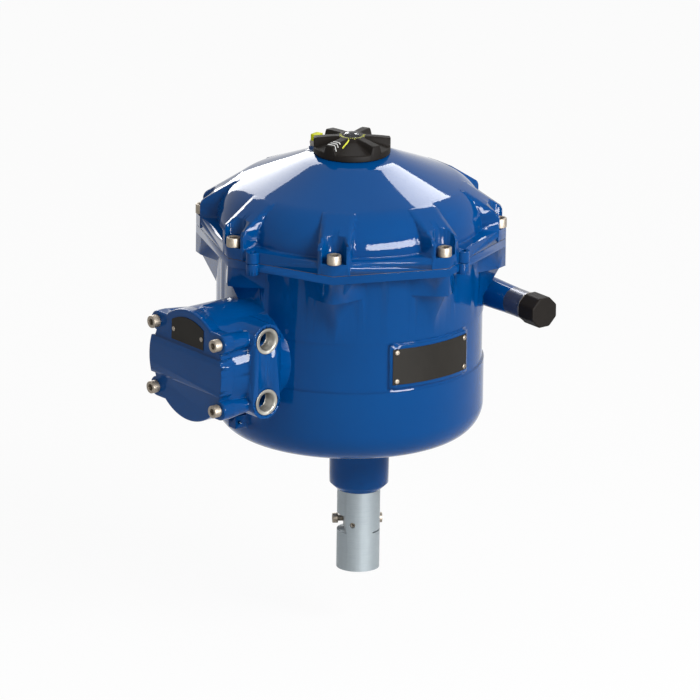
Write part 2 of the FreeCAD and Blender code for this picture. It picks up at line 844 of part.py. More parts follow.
def top_cover():
    shell = new_body("cover_shell", HOUSING_AXIS, 0, COVER_BASE, BETWEEN_CORNERS)
    revolve(shell, "cover_shell_turned", [
        ("0", "0"),
        ("cover_wall_radius", "0"),
        ("cover_wall_radius", cone_height("cover_wall_radius")),
        ("cone_top_radius", cone_height("cone_top_radius")),
        ("0", cone_height("cone_top_radius")),
    ])
    round_edges(shell, "cover_shoulder", "cone_fillet",
                circle_at("cover_wall_radius", cone_height("cover_wall_radius")))
    lug_ring = new_body("lug_ring", HOUSING_AXIS, 0, COVER_BASE, BETWEEN_CORNERS)
    lug_top = cone_height("lug_start") + " - (lug_radius - lug_start) * tan(lug_angle)"
    revolve(lug_ring, "lug_ring_turned", [
        ("lug_start - 14", "0"),
        ("lug_radius", "0"),
        ("lug_radius", lug_top),
        ("lug_start", cone_height("lug_start")),
        ("lug_start - 14", cone_height("lug_start - 14")),
    ])
    round_edges(lug_ring, "lug_shoulder", "lug_fillet", circle_at("lug_radius", lug_top))
    lug_slabs = corner_slabs("lug_slab", "lug_slab_side", [
        ("lug_start - 7", COVER_BASE),
        ("lug_radius + 5", COVER_BASE),
        ("lug_radius + 5", COVER_TOP),
        ("lug_start - 7", COVER_TOP),
    ], "lug_width")
    lugs = common("lugs", lug_ring, lug_slabs)
    flange = octagon("cover_flange_plate", "flange_radius", "cover_flange", HOUSING_AXIS, 0, COVER_BASE)
    tab_pad = box("tab_pad", "tab_length + 2", "tab_width + 2", "tab_pad_top - 70",
                  "-axis_offset + (tab_radius - 1) * cos(tab_angle) + (tab_width / 2 + 1) * sin(tab_angle)",
                  "(tab_radius - 1) * sin(tab_angle) - (tab_width / 2 + 1) * cos(tab_angle)",
                  "housing_height + 70")
    tab_pad.setExpression(".Placement.Rotation.Angle", link("tab_angle"))
    outside = fuse("cover_outside", shell, lugs, flange, tab_pad,
                   *jack_bosses("cover_jack", COVER_BASE, "cover_flange", "jack_radius"))
    hollow = new_body("cover_hollow", HOUSING_AXIS, 0, COVER_BASE, BETWEEN_CORNERS)
    revolve(hollow, "cover_hollow_turned", [
        ("0", "-1"),
        ("cover_inner_radius", "-1"),
        ("cover_inner_radius", cone_height("cover_inner_radius") + " - cover_thickness"),
        ("cone_top_radius", cone_height("cone_top_radius") + " - cover_thickness"),
        ("0", cone_height("cone_top_radius") + " - cover_thickness"),
    ])
    round_edges(hollow, "hollow_shoulder", "cover_inner_fillet",
                circle_at("cover_inner_radius", cone_height("cover_inner_radius") + " - cover_thickness"))
    holes = [hollow]
    holes += around(lambda number, x, y: cylinder("lug_pocket_%d" % number, "lug_pocket_radius",
                                                  "cover_height", x, y, COVER_FLANGE_TOP),
                    CORNER_ANGLES, "bolt_circle")
    holes += around(lambda number, x, y: cylinder("cover_bolt_hole_%d" % number,
                                                  "bolt_radius + bolt_clearance", "cover_flange + 2",
                                                  x, y, COVER_BASE + " - 1"),
                    CORNER_ANGLES, "bolt_circle")
    holes += jack_bosses("jack_hole", COVER_BASE + " - 1", "cover_flange + 2", "jack_hole")
    holes.append(cylinder("knob_shaft_bore", "shaft_radius + shaft_fit", "cover_height", HOUSING_AXIS, 0,
                          "housing_height + 60"))
    holes.append(cylinder("knob_seal_pocket", "seal_pocket_radius", "seal_pocket_depth + 1",
                          HOUSING_AXIS, 0, COVER_TOP + " - seal_pocket_depth"))
    return cut("cover_body", outside, *holes)


node("top_cover", top_cover())

# Eight flange screws
flange_screw = socket_screw("flange_screw", "bolt_radius", "bolt_length", "bolt_head_radius",
                            "bolt_head", "bolt_socket")
flange_screw_places = []
for corner in CORNER_ANGLES:
    flange_screw_places.append(spot("-axis_offset + bolt_circle * cos(%d)" % corner,
                                    "bolt_circle * sin(%d)" % corner, COVER_FLANGE_TOP,
                                    ((0, 0, 1), corner)))
node("flange_screws", group("flange_screw_set", flange_screw, flange_screw_places))


# Selector knob with six fins, its lens, shaft and seal
def selector_knob():
    knob = new_body("knob", HOUSING_AXIS, 0, KNOB_BASE)
    revolve(knob, "knob_turned", [
        ("0", "0"),
        ("knob_radius", "0"),
        ("knob_radius", "knob_skirt"),
        ("knob_crown_radius", "knob_crown"),
        ("0", "knob_crown"),
    ])
    fin_sketch = outline(new_sketch(knob, "fin_plan", "XY_Plane"), [
        ("0", "-fin_width / 2"),
        ("knob_radius - fin_rim", "-fin_width / 2 - fin_flare"),
        ("knob_radius - fin_rim", "fin_width / 2 + fin_flare"),
        ("0", "fin_width / 2"),
    ])
    fin = pad(knob, "fin", fin_sketch, "knob_height")
    polar(knob, "fins", fin, 6)
    round_edges(knob, "fin_edges", "knob_edge",
                lambda edge: min(vertex.Z for vertex in edge.Vertexes) > value("knob_height") - 0.01)
    seat = ring(new_sketch(knob, "lens_seat_plan", "XY_Plane", "knob_height"), "lens_radius + lens_gap")
    pocket(knob, "lens_seat_cut", seat, "lens_seat")
    recess = ring(new_sketch(knob, "shaft_recess_plan", "XY_Plane"), "shaft_flange_radius + lens_gap")
    pocket(knob, "shaft_recess", recess, "shaft_flange", True)
    knob.setExpression(".Placement.Rotation.Angle", link("fin_tilt"))
    return knob


node("selector_knob", selector_knob())

lens = new_body("lens", HOUSING_AXIS, 0, KNOB_BASE + " + knob_height - lens_seat")
revolve(lens, "lens_turned", [
    ("0", "0"),
    ("lens_radius", "0"),
    ("lens_radius", "lens_seat"),
    ("lens_radius * 0.8", "lens_seat + lens_rise * 0.55"),
    ("lens_radius * 0.45", "lens_seat + lens_rise * 0.9"),
    ("0", "lens_seat + lens_rise"),
])
node("knob_lens", lens)

knob_shaft = new_body("knob_shaft_body", HOUSING_AXIS, 0, KNOB_BASE + " + shaft_flange")
revolve(knob_shaft, "knob_shaft_turned", [
    ("0", "-shaft_length"),
    ("shaft_radius", "-shaft_length"),
    ("shaft_radius", "-shaft_flange"),
    ("shaft_flange_radius", "-shaft_flange"),
    ("shaft_flange_radius", "0"),
    ("0", "0"),
])
node("knob_shaft", knob_shaft)


def seal_ring(name, major, minor, x=0, y=0, z=0, turn=UPRIGHT):
    """A seal ring, its round section drawn with eight flats."""
    ring_body = new_body(name, x, y, z, turn)
    section = []
    for angle in range(0, 360, 45):
        section.append(("%s + %s * cos(%d)" % (major, minor, angle), "%s * sin(%d)" % (minor, angle)))
    revolve(ring_body, name + "_turned", section)
    return ring_body


node("knob_seal", seal_ring("knob_seal_ring", "(shaft_radius + seal_pocket_radius) / 2",
                            "((seal_pocket_radius - shaft_radius) / 2 - seal_gap)", HOUSING_AXIS, 0,
                            COVER_TOP + " - seal_pocket_depth / 2"))


def selector_switch():
    """The switch block under the shaft, hung on two posts from the cover's ceiling."""
    top = KNOB_BASE + " + shaft_flange - shaft_length - switch_gap"
    block = box("selector_switch_block", "switch_length", "switch_length", "switch_height",
                "-axis_offset - switch_length / 2", "-switch_length / 2", top + " - switch_height")
    posts = []
    for side in (-1, 1):
        post = cylinder("switch_post_%s" % ("left" if side < 0 else "right"), "switch_post_radius",
                        COVER_TOP + " - cover_thickness - (%s - 1)" % top,
                        "-axis_offset + %d * switch_post_side" % side, 0, top + " - 1")
        posts.append(post)
    return fuse("selector_switch_body", block, *posts)


node("selector_switch", selector_switch())


# Index tab on its bracket, behind the knob
def at_tab(item, along, across, z):
    """Place a piece by its distances along and across the tab's own radius."""
    place(item, "-axis_offset + (%s) * cos(tab_angle) - (%s) * sin(tab_angle)" % (along, across),
          "(%s) * sin(tab_angle) + (%s) * cos(tab_angle)" % (along, across), z)
    item.setExpression(".Placement.Rotation.Angle", link("tab_angle"))
    return item


bracket_foot = at_tab(box("bracket_foot", "tab_length", "tab_width", "tab_bracket_height"),
                      "tab_radius", "-tab_width / 2", "housing_height + tab_pad_top")
bracket_hole = cylinder("bracket_hole", "tab_screw_radius + thread_gap", "tab_screw_depth + 1",
                        "-axis_offset + (tab_radius + tab_length - tab_screw_depth) * cos(tab_angle)",
                        "(tab_radius + tab_length - tab_screw_depth) * sin(tab_angle)",
                        "housing_height + tab_pad_top + tab_bracket_height / 2", radial_turn("tab_angle"))
node("tab_bracket", cut("tab_bracket_body", bracket_foot, bracket_hole))
tab_block = at_tab(box("tab_block", "tab_length", "tab_width", "tab_height"), "tab_radius",
                   "-tab_width / 2", "housing_height + tab_pad_top + tab_bracket_height")
node("index_tab", fillet("index_tab_body", tab_block, "tab_wall",
                         lambda edge: abs(edge.Vertexes[0].Z - edge.Vertexes[-1].Z) > 1))
tab_screw = socket_screw("tab_screw_body", "tab_screw_radius", "tab_screw_depth - 1",
                         "tab_screw_head_radius", "tab_screw_head", "tab_screw_radius * 0.6")
node("tab_screw", group("tab_screw_set", tab_screw, [spot(
    "-axis_offset + (tab_radius + tab_length) * cos(tab_angle)",
    "(tab_radius + tab_length) * sin(tab_angle)",
    "housing_height + tab_pad_top + tab_bracket_height / 2", radial_turn("tab_angle"))]))


# Terminal cover, its seal, screws, label and rivets
def terminal_cover():
    cover = new_body("terminal_cover_body", TERMINAL_FACE, 0, "terminal_height", TO_MINUS_X)
    plan = ring(new_sketch(cover, "terminal_cover_plan", "XY_Plane"), "terminal_radius")
    pad(cover, "terminal_disc", plan, "terminal_cover_thickness")
    for rise in (-1, 1):
        mark = "low" if rise < 0 else "high"
        bar = outline(new_sketch(cover, "ear_bar_" + mark, "XY_Plane"), [
            ("%d * ear_rise - ear_radius" % rise, "-ear_side"),
            ("%d * ear_rise + ear_radius" % rise, "-ear_side"),
            ("%d * ear_rise + ear_radius" % rise, "ear_side"),
            ("%d * ear_rise - ear_radius" % rise, "ear_side"),
        ])
        pad(cover, "ear_bar_pad_" + mark, bar, "terminal_cover_thickness")
        for side in (-1, 1):
            name = "%s_%s" % (mark, "near" if side < 0 else "far")
            ear = ring(new_sketch(cover, "cover_ear_" + name, "XY_Plane"), "ear_radius",
                       "%d * ear_rise" % rise, "%d * ear_side" % side)
            pad(cover, "cover_ear_pad_" + name, ear, "terminal_cover_thickness")
    round_edges(cover, "terminal_cover_edge", "terminal_edge",
                lambda edge: min(vertex.Z for vertex in edge.Vertexes) > value("terminal_cover_thickness") - 0.01)
    for rise in (-1, 1):
        for side in (-1, 1):
            name = "%s_%s" % ("low" if rise < 0 else "high", "near" if side < 0 else "far")
            hole = ring(new_sketch(cover, "cover_hole_" + name, "XY_Plane"),
                        "terminal_bolt_radius + bolt_clearance", "%d * ear_rise" % rise,
                        "%d * ear_side" % side)
            pocket(cover, "cover_hole_cut_" + name, hole, "terminal_cover_thickness + 1", True)
    for side in (-1, 1):
        name = "near" if side < 0 else "far"
        hole = ring(new_sketch(cover, "rivet_hole_" + name, "XY_Plane",
                               "terminal_cover_thickness - rivet_length"),
                    "rivet_radius + thread_gap", "rivet_rise", "%d * rivet_side" % side)
        pocket(cover, "rivet_hole_cut_" + name, hole, "rivet_length + 1", True)
    band_disc = cylinder("band_disc", "terminal_band_radius", "terminal_cover_thickness + terminal_band",
                         TERMINAL_FACE, 0, "terminal_height", TO_MINUS_X)
    band_slab = box("band_slab", "terminal_cover_thickness + terminal_band", "2 * terminal_band_radius",
                    "2 * terminal_band_half", TERMINAL_FACE + " - terminal_cover_thickness - terminal_band",
                    "-terminal_band_radius", "terminal_height - terminal_band_half")
    doc.recompute()
    return fuse("terminal_cover_cast", cover, common("terminal_band_cast", band_disc, band_slab))


node("terminal_cover", terminal_cover())
doc.recompute()
node("terminal_seal", seal_ring("terminal_seal_ring", "terminal_seal_radius", "terminal_seal_wire",
                                "-axis_offset - terminal_joint + terminal_seal_wire + seal_gap", 0,
                                "terminal_height", TO_MINUS_X))
terminal_screw = socket_screw("terminal_screw", "terminal_bolt_radius", "terminal_bolt_length",
                              "terminal_bolt_head_radius", "terminal_bolt_head", "terminal_bolt_socket")
terminal_screw_places = []
for side in (-1, 1):
    for rise in (-1, 1):
        terminal_screw_places.append(spot(TERMINAL_FACE + " - terminal_cover_thickness",
                                          "%d * ear_side" % side,
                                          "terminal_height + %d * ear_rise" % rise, TO_MINUS_X))
node("terminal_cover_screws", group("terminal_screw_set", terminal_screw, terminal_screw_places))

label_arch = cylinder("label_arch", "label_arc", "label_thickness",
                      TERMINAL_FACE + " - terminal_cover_thickness", 0, "terminal_height", TO_MINUS_X)
label_window = box("label_window", "label_thickness + 2", "2 * label_half_width", "terminal_radius",
                   TERMINAL_FACE + " - terminal_cover_thickness - label_thickness - 1",
                   "-label_half_width", "terminal_height + label_bottom")
label_blank = common("label_blank", label_arch, label_window)
label_holes = []
for side in (-1, 1):
    label_holes.append(cylinder("label_hole_%s" % ("near" if side < 0 else "far"),
                                "rivet_radius + thread_gap", "label_thickness + 2",
                                TERMINAL_FACE + " - terminal_cover_thickness + 1",
                                "%d * rivet_side" % side, "terminal_height + rivet_rise", TO_MINUS_X))
node("label_plate", cut("label_plate_body", label_blank, *label_holes))
rivet = new_body("rivet")
revolve(rivet, "rivet_turned", [
    ("0", "1 - rivet_length"),
    ("rivet_radius", "1 - rivet_length"),
    ("rivet_radius", "0"),
    ("rivet_radius * 1.7", "0"),
    ("rivet_radius * 1.3", "rivet_head * 0.8"),
    ("0", "rivet_head"),
])
node("label_rivets", group("rivet_set", rivet, [
    spot(TERMINAL_FACE + " - terminal_cover_thickness - label_thickness", "%d * rivet_side" % side,
         "terminal_height + rivet_rise", TO_MINUS_X) for side in (-1, 1)]))

# Steel rings of the cable entries
entry_ring = tube("entry_ring", "entry_ring_radius", "entry_bore",
                  "entry_ring_depth + entry_ring_proud")
node("cable_entry_rings", group("entry_ring_set", entry_ring, [
    spot("-axis_offset - entry_back", "entry_ring_depth - entry_face",
         "terminal_height + %d * entry_rise" % rise, TO_MINUS_Y) for rise in (-1, 1)]))

# Terminal block inside the compartment
block_body = box("block_body", "block_depth", "block_length", "block_height",
                 "-axis_offset - terminal_cavity_end - block_depth", "-block_length / 2",
                 "terminal_height - block_height / 2")
way_holes = []
for way in range(int(value("block_ways"))):
    way_holes.append(cylinder("way_hole_%d" % way, "block_screw_radius", "block_depth / 2",
                              "-axis_offset - terminal_cavity_end - block_depth / 2 - 1",
                              "block_length * ((%d + 0.5) / block_ways - 0.5)" % way,
                              "terminal_height", TO_MINUS_X))
node("terminal_block", cut("terminal_block_body", block_body, *way_holes))

# Rating plate and its screws
plate_outer = plate_sector("plate_outer", "plate_pad_radius + plate_thickness + 0.1",
                           "plate_half_angle", "plate_half_height")
plate_inner = cylinder("plate_inner", "plate_pad_radius + 0.1", "4 * plate_half_height",
                       HOUSING_AXIS, 0, "plate_height - 2 * plate_half_height")
plate_holes = []
for mark, angle, rise in plate_screw_spots():
    plate_holes.append(cylinder("plate_hole_" + mark, "plate_screw_radius + thread_gap",
                                "plate_thickness + 6",
                                "-axis_offset + (plate_pad_radius - 3) * cos(%s)" % angle,
                                "(plate_pad_radius - 3) * sin(%s)" % angle,
                                "plate_height + (%s)" % rise, radial_turn(angle)))
node("rating_plate", cut("rating_plate_body", plate_outer, plate_inner, *plate_holes))
plate_screw = new_body("plate_screw")
revolve(plate_screw, "plate_screw_turned", [
    ("0", "-plate_screw_length"),
    ("plate_screw_radius", "-plate_screw_length"),
    ("plate_screw_radius", "0"),
    ("plate_screw_head_radius", "0"),
    ("plate_screw_head_radius", "plate_screw_head * 0.4"),
    ("plate_screw_head_radius * 0.6", "plate_screw_head"),
    ("0", "plate_screw_head"),
])
plate_screw_places = []
for mark, angle, rise in plate_screw_spots():
    reach = "(plate_pad_radius + plate_thickness + 0.25)"
    plate_screw_places.append(spot("-axis_offset + %s * cos(%s)" % (reach, angle),
                                   "%s * sin(%s)" % (reach, angle), "plate_height + (%s)" % rise,
                                   radial_turn(angle)))
node("rating_plate_screws", group("plate_screw_set", plate_screw, plate_screw_places))


# Hand drive: sleeve, cap, sliding cartridge and shaft
def hand_body(name):
    """A body whose own +Z runs along the hand drive, out of the housing."""
    return new_body(name, "hand_offset", 0, "hand_height", TO_MINUS_Y)


sleeve = hand_body("sleeve")
revolve(sleeve, "sleeve_turned", [
    ("sleeve_bore", "sleeve_start + 1"),
    ("sleeve_spigot", "sleeve_start + 1"),
    ("sleeve_spigot", "hand_tube_end"),
    ("sleeve_radius", "hand_tube_end"),
    ("sleeve_radius", "sleeve_collar_reach"),
    ("sleeve_collar_radius", "sleeve_collar_reach"),
    ("sleeve_collar_radius", "sleeve_collar_reach + sleeve_collar"),
    ("sleeve_radius", "sleeve_collar_reach + sleeve_collar"),
    ("sleeve_radius", "sleeve_end"),
    ("sleeve_bore", "sleeve_end"),
])
sleeve_hole = cylinder("sleeve_hole_cut", "sleeve_hole", "sleeve_radius + 2", "hand_offset",
                       "-sleeve_hole_reach", "hand_height", ((0, 1, 0), -135))
node("drive_sleeve", cut("drive_sleeve_body", sleeve, sleeve_hole))

cap = hand_body("cap")
revolve(cap, "cap_turned", [
    ("sleeve_radius + cap_bore_gap", "cap_start"),
    ("cap_radius", "cap_start"),
    ("cap_radius", "cap_end"),
    ("0", "cap_end"),
    ("0", "sleeve_end + cap_bore_gap"),
    ("sleeve_radius + cap_bore_gap", "sleeve_end + cap_bore_gap"),
])
round_edges(cap, "cap_rim", "cap_edge", circle_at("cap_radius", "cap_end"))
node("push_cap", cap)

cartridge = hand_body("cartridge")
revolve(cartridge, "cartridge_turned", [
    ("hand_shaft_radius + running_fit", "cartridge_start"),
    ("sleeve_bore - cartridge_fit", "cartridge_start"),
    ("sleeve_bore - cartridge_fit", "cartridge_start + cartridge_length"),
    ("hand_shaft_radius + running_fit", "cartridge_start + cartridge_length"),
])
node("hand_cartridge", cartridge)

hand_shaft = hand_body("hand_shaft_body")
revolve(hand_shaft, "hand_shaft_turned", [
    ("0", "hand_shaft_start"),
    ("jaw_radius", "hand_shaft_start"),
    ("jaw_radius", "hand_shaft_start + jaw_depth"),
    ("hand_shaft_radius", "hand_shaft_start + jaw_depth"),
    ("hand_shaft_radius", "cartridge_start + cartridge_length + hand_collar_gap"),
    ("hand_collar_radius", "cartridge_start + cartridge_length + hand_collar_gap"),
    ("hand_collar_radius", "cartridge_start + cartridge_length + hand_collar_gap + hand_collar"),
    ("hand_shaft_radius", "cartridge_start + cartridge_length + hand_collar_gap + hand_collar"),
    ("hand_shaft_radius", "hand_shaft_end"),
    ("0", "hand_shaft_end"),
])
for side in (-1, 1):
    flat = outline(new_sketch(hand_shaft, "tongue_side_%d" % (side + 1), "XY_Plane", "hand_shaft_start"), [
        ("%d * (jaw_width - jaw_fit) / 2" % side, "-2 * jaw_radius"),
        ("%d * 2 * jaw_radius" % side, "-2 * jaw_radius"),
        ("%d * 2 * jaw_radius" % side, "2 * jaw_radius"),
        ("%d * (jaw_width - jaw_fit) / 2" % side, "2 * jaw_radius"),
    ])
    pocket(hand_shaft, "tongue_cut_%d" % (side + 1), flat, "jaw_depth - 1", True)
for number, angle in enumerate(range(0, 360, 60)):
    reach, across = "hex_flats / 2", "hand_shaft_radius"
    corners = []
    for along, over in (("(%s)" % reach, -1), ("(2 * hand_shaft_radius)", -1),
                        ("(2 * hand_shaft_radius)", 1), ("(%s)" % reach, 1)):
        corners.append(("%s * cos(%d) - %d * %s * sin(%d)" % (along, angle, over, across, angle),
                        "%s * sin(%d) + %d * %s * cos(%d)" % (along, angle, over, across, angle)))
    facet = outline(new_sketch(hand_shaft, "hex_side_%d" % number, "XY_Plane",
                               "hand_shaft_end - hex_length"), corners)
    pocket(hand_shaft, "hex_cut_%d" % number, facet, "hex_length + 1", True)
node("hand_shaft", hand_shaft)


# Output: tube with clamp, screws of the clamp, bush, wiper, nut, carrier and guide rod
def output_tube():
    turned = new_body("output_tube_turned")
    revolve(turned, "output_tube_profile", [
        ("stem_bore", "-tube_bottom"),
        ("tube_radius", "-tube_bottom"),
        ("tube_radius", "tube_top"),
        ("tube_bore", "tube_top"),
        ("tube_bore", "-tube_bore_end"),
        ("0", "-tube_bore_end"),
        ("0", "stem_depth - tube_bottom"),
        ("stem_bore", "stem_depth - tube_bottom"),
    ])
    clamp = []
    slit = box("clamp_slit", "3 * tube_radius", "4 * tube_radius", "slit",
               "-slit_front", "-2 * tube_radius", "-slit_drop - slit / 2")
    clamp.append(slit)
    clamp.append(box("clamp_notch_far", "3 * tube_radius", "tube_radius", "notch_height",
                     "-notch_front", "notch_flat", "-notch_drop - notch_height / 2"))
    clamp.append(box("clamp_notch_near", "2 * tube_radius", "tube_radius", "notch_height",
                     "notch_back", "-notch_flat - tube_radius", "-notch_drop - notch_height / 2"))
    clamp.append(cylinder("pinch_hole", "pinch_radius + thread_gap", "4 * tube_radius", "pinch_offset",
                          "-2 * tube_radius", "-pinch_drop", TO_PLUS_Y))
    cuts = fuse("clamp_cuts", *clamp)
    cuts.Placement = FreeCAD.Placement(Vector(), Rotation(Vector(0, 0, 1), 0))
    cuts.setExpression(".Placement.Rotation.Angle", link("clamp_angle"))
    set_hole = cylinder("set_screw_hole", "set_screw_radius + thread_gap", "2 * tube_radius", 0, 0,
                        "-set_screw_drop", radial_turn("set_screw_angle"))
    return cut("output_tube_body", turned, cuts, set_hole)


node("output_tube", output_tube())
pinch_screw = socket_screw("pinch_screw", "pinch_radius", "pinch_length", "pinch_head_radius",
                           "pinch_head", "pinch_socket")
pinch_places = []
for side, turn in ((-1, TO_MINUS_Y), (1, TO_PLUS_Y)):
    seat = spot("pinch_offset", "%d * pinch_stand" % side, "-pinch_drop", turn)
    pinch_places.append(spot(turn=((0, 0, 1), value("clamp_angle"))).multiply(seat))
node("pinch_screws", group("pinch_screw_set", pinch_screw, pinch_places))
set_screw = new_body("set_screw_body")
revolve(set_screw, "set_screw_turned", [
    ("0", "0"),
    ("set_screw_radius", "0"),
    ("set_screw_radius", "set_screw_length"),
    ("set_screw_radius * 0.5", "set_screw_length"),
    ("set_screw_radius * 0.5", "set_screw_length - 3"),
    ("0", "set_screw_length - 3"),
])
node("set_screw", group("set_screw_set", set_screw, [
    spot("(stem_bore + 2) * cos(set_screw_angle)", "(stem_bore + 2) * sin(set_screw_angle)",
         "-set_screw_drop", radial_turn("set_screw_angle"))]))

node("guide_bush", tube("guide_bush_body", "tube_radius + tube_fit + bush_wall", "tube_radius + tube_fit",
                        "boss_drop - boss_lip - wiper_height - wiper_gap + bush_top", 0, 0,
                        "boss_lip + wiper_height + wiper_gap - boss_drop"))
node("wiper_seal", tube("wiper_seal_body", "tube_radius + tube_fit + bush_wall",
                        "tube_radius + wiper_gap", "wiper_height", 0, 0, "boss_lip - boss_drop"))

node("drive_nut", tube("drive_nut_body", "nut_radius", "screw_radius + running_fit", "nut_height", 0, 0,
                       "tube_top"))


def nut_carrier():
    z = "tube_top + nut_height"
    disc = cylinder("carrier_disc", "carrier_radius", "carrier_thickness", 0, 0, z)
    arm = box("carrier_arm", "2 * rod_arm", "rod_offset", "carrier_thickness", "-rod_arm", 0, z)
    eye = cylinder("carrier_eye", "rod_arm", "carrier_thickness", 0, "rod_offset", z)
    screw_hole = cylinder("carrier_screw_hole", "screw_radius + 2", "carrier_thickness + 2", 0, 0,
                          z + " - 1")
    rod_hole = cylinder("carrier_rod_hole", "rod_radius + running_fit", "carrier_thickness + 2", 0,
                        "rod_offset", z + " - 1")
    return cut("nut_carrier_body", fuse("carrier_outside", disc, arm, eye), screw_hole, rod_hole)


node("nut_carrier", nut_carrier())
node("guide_rod", cylinder("guide_rod_body", "rod_radius", "plate_bottom - floor_thickness", 0,
                           "rod_offset", "floor_thickness"))

# Drive screw with its collar, and what it carries
screw = new_body("screw")
revolve(screw, "screw_turned", [
    ("0", "-screw_bottom"),
    ("screw_radius - screw_groove", "-screw_bottom"),
    ("screw_radius", "screw_groove - screw_bottom"),
    ("screw_radius", "plate_bottom"),
    ("journal_radius", "plate_bottom"),
    ("journal_radius", "screw_top"),
    ("0", "screw_top"),
])
node("drive_screw", screw)


# Spur gears with involute flanks
def involute_angle(base_radius, radius):
    roll = math.sqrt(max((radius / base_radius) ** 2 - 1, 0))
    return roll - math.atan(roll)


def gear_outline(teeth):
    """One closed outline round all the teeth, the first tooth on +X."""
    module = value("gear_module")
    pitch = module * teeth / 2
    base = pitch * math.cos(math.radians(value("pressure_angle")))
    root = pitch - 1.2 * module
    tip = pitch + 0.9 * module
    half = (math.pi * module / 4 - value("tooth_backlash")) / pitch + involute_angle(base, pitch)
    flank = [(root, half - involute_angle(base, max(root, base)))]
    for radius in (max(root, base), pitch, (pitch + tip) / 2, tip):
        flank.append((radius, half - involute_angle(base, radius)))
    points = []
    for tooth in range(teeth):
        middle = 2 * math.pi * tooth / teeth
        for radius, angle in [(r, -a) for r, a in flank] + [(r, a) for r, a in reversed(flank)]:
            point = Vector(radius * math.cos(middle + angle), radius * math.sin(middle + angle), 0)
            if not points or point.distanceToPoint(points[-1]) > 1e-4:
                points.append(point)
    return Part.Face(Part.makePolygon(points + [points[0]]))


def spur_gear(name, teeth, bore, bottom, x, turn_degrees):
    thickness = value("gear_thickness")
    solid = gear_outline(teeth).extrude(Vector(0, 0, thickness))
    solid = solid.cut(Part.makeCylinder(value(bore), thickness))
    solid.rotate(Vector(), Vector(0, 0, 1), turn_degrees)
    solid.translate(Vector(value(x), 0, value(bottom)))
    return feature(name, solid)


def main_gear():
    """The wheel is turned thin between hub and rim, half a tooth on from the pinions."""
    teeth = int(value("wheel_teeth"))
    wheel = spur_gear("main_gear_blank", teeth, "journal_radius + seat_gap", "gear_bottom", "0", 180 / teeth)
    rim = "gear_module * wheel_teeth / 2 - rim_width"
    recess_depth = "(gear_thickness - web_thickness) / 2"
    low = tube("wheel_recess_low", rim, "hub_radius", recess_depth, 0, 0, "gear_bottom")
    high = tube("wheel_recess_high", rim, "hub_radius", recess_depth, 0, 0,
                "gear_bottom + gear_thickness - " + recess_depth)
    return cut("main_gear_body", wheel, low, high)


node("main_gear", main_gear())
node("screw_locknut", tube("locknut_body", "locknut_radius", "journal_radius + seat_gap",
                           "locknut_height", 0, 0, "gear_bottom + gear_thickness"))
node("motor_pinion", spur_gear("motor_pinion_body", int(value("pinion_teeth")), "motor_shaft + seat_gap",
                               "gear_bottom", "-(%s)" % GEAR_DISTANCE, 0))
node("layshaft_pinion", spur_gear("layshaft_pinion_body", int(value("pinion_teeth")),
                                  "lay_radius + seat_gap", "gear_bottom", GEAR_DISTANCE, 0))
node("thrust_bearing", tube("thrust_bearing_body", "bearing_radius", "journal_radius + running_fit",
                            "bearing_height", 0, 0, "plate_bottom + seat_gap"))


# Mitre gears that turn the hand drive's rotation upright
def mitre_gear(bore, half_tooth):
    """A gear about +Z with its cone's tip at the origin, teeth lofted towards that tip."""
    teeth = int(value("mitre_teeth"))
    pitch = value("mitre_radius")
    module = 2 * pitch / teeth
    reach = pitch * math.sqrt(2)
    along = Vector(1, 0, 1).normalize()
    outward = Vector(1, 0, -1).normalize()
    slope = math.tan(math.radians(45) - math.atan(1.15 * module / reach))
    back = pitch + 1.1 * module / math.sqrt(2)
    front = value("mitre_inner") * pitch
    solid = Part.makeCone(front * slope, back * slope, back - front, Vector(0, 0, front))
    sections = []
    for scale in (1.0, value("mitre_inner")):
        corners = []
        for height, half in ((-1.4, 0.5 + 0.28), (0.75, 0.5 - 0.26), (0.75, -0.5 + 0.26), (-1.4, -0.5 - 0.28)):
            width = half * (math.pi * module / 2 - 2 * value("tooth_backlash") - 0.35)
            point = along * reach + outward * (height * module) + Vector(0, width, 0)
            corners.append(point * scale)
        sections.append(Part.makePolygon(corners + [corners[0]]))
    tooth = Part.makeLoft(sections, True, True)
    for number in range(teeth):
        copy = tooth.copy()
        copy.rotate(Vector(), Vector(0, 0, 1), 360 / teeth * (number + half_tooth))
        solid = solid.fuse(copy)
    return solid.cut(Part.makeCylinder(value(bore), 2 * pitch)).removeSplitter()


def mitre_node(name, bore, half_tooth, turn):
    item = feature(name + "_body", mitre_gear(bore, half_tooth))
    item.Placement = spot(GEAR_DISTANCE, 0, "hand_height", turn)
    return node(name, item)


mitre_node("layshaft_mitre_gear", "lay_radius + seat_gap", 0.5, TO_MINUS_Z)
mitre_node("spindle_mitre_gear", "spindle_radius + seat_gap", 0, TO_MINUS_Y)
node("layshaft", cylinder("layshaft_body", "lay_radius",
                          "hand_height - mitre_inner * mitre_radius - lay_bottom",
                          GEAR_DISTANCE, 0, "lay_bottom"))

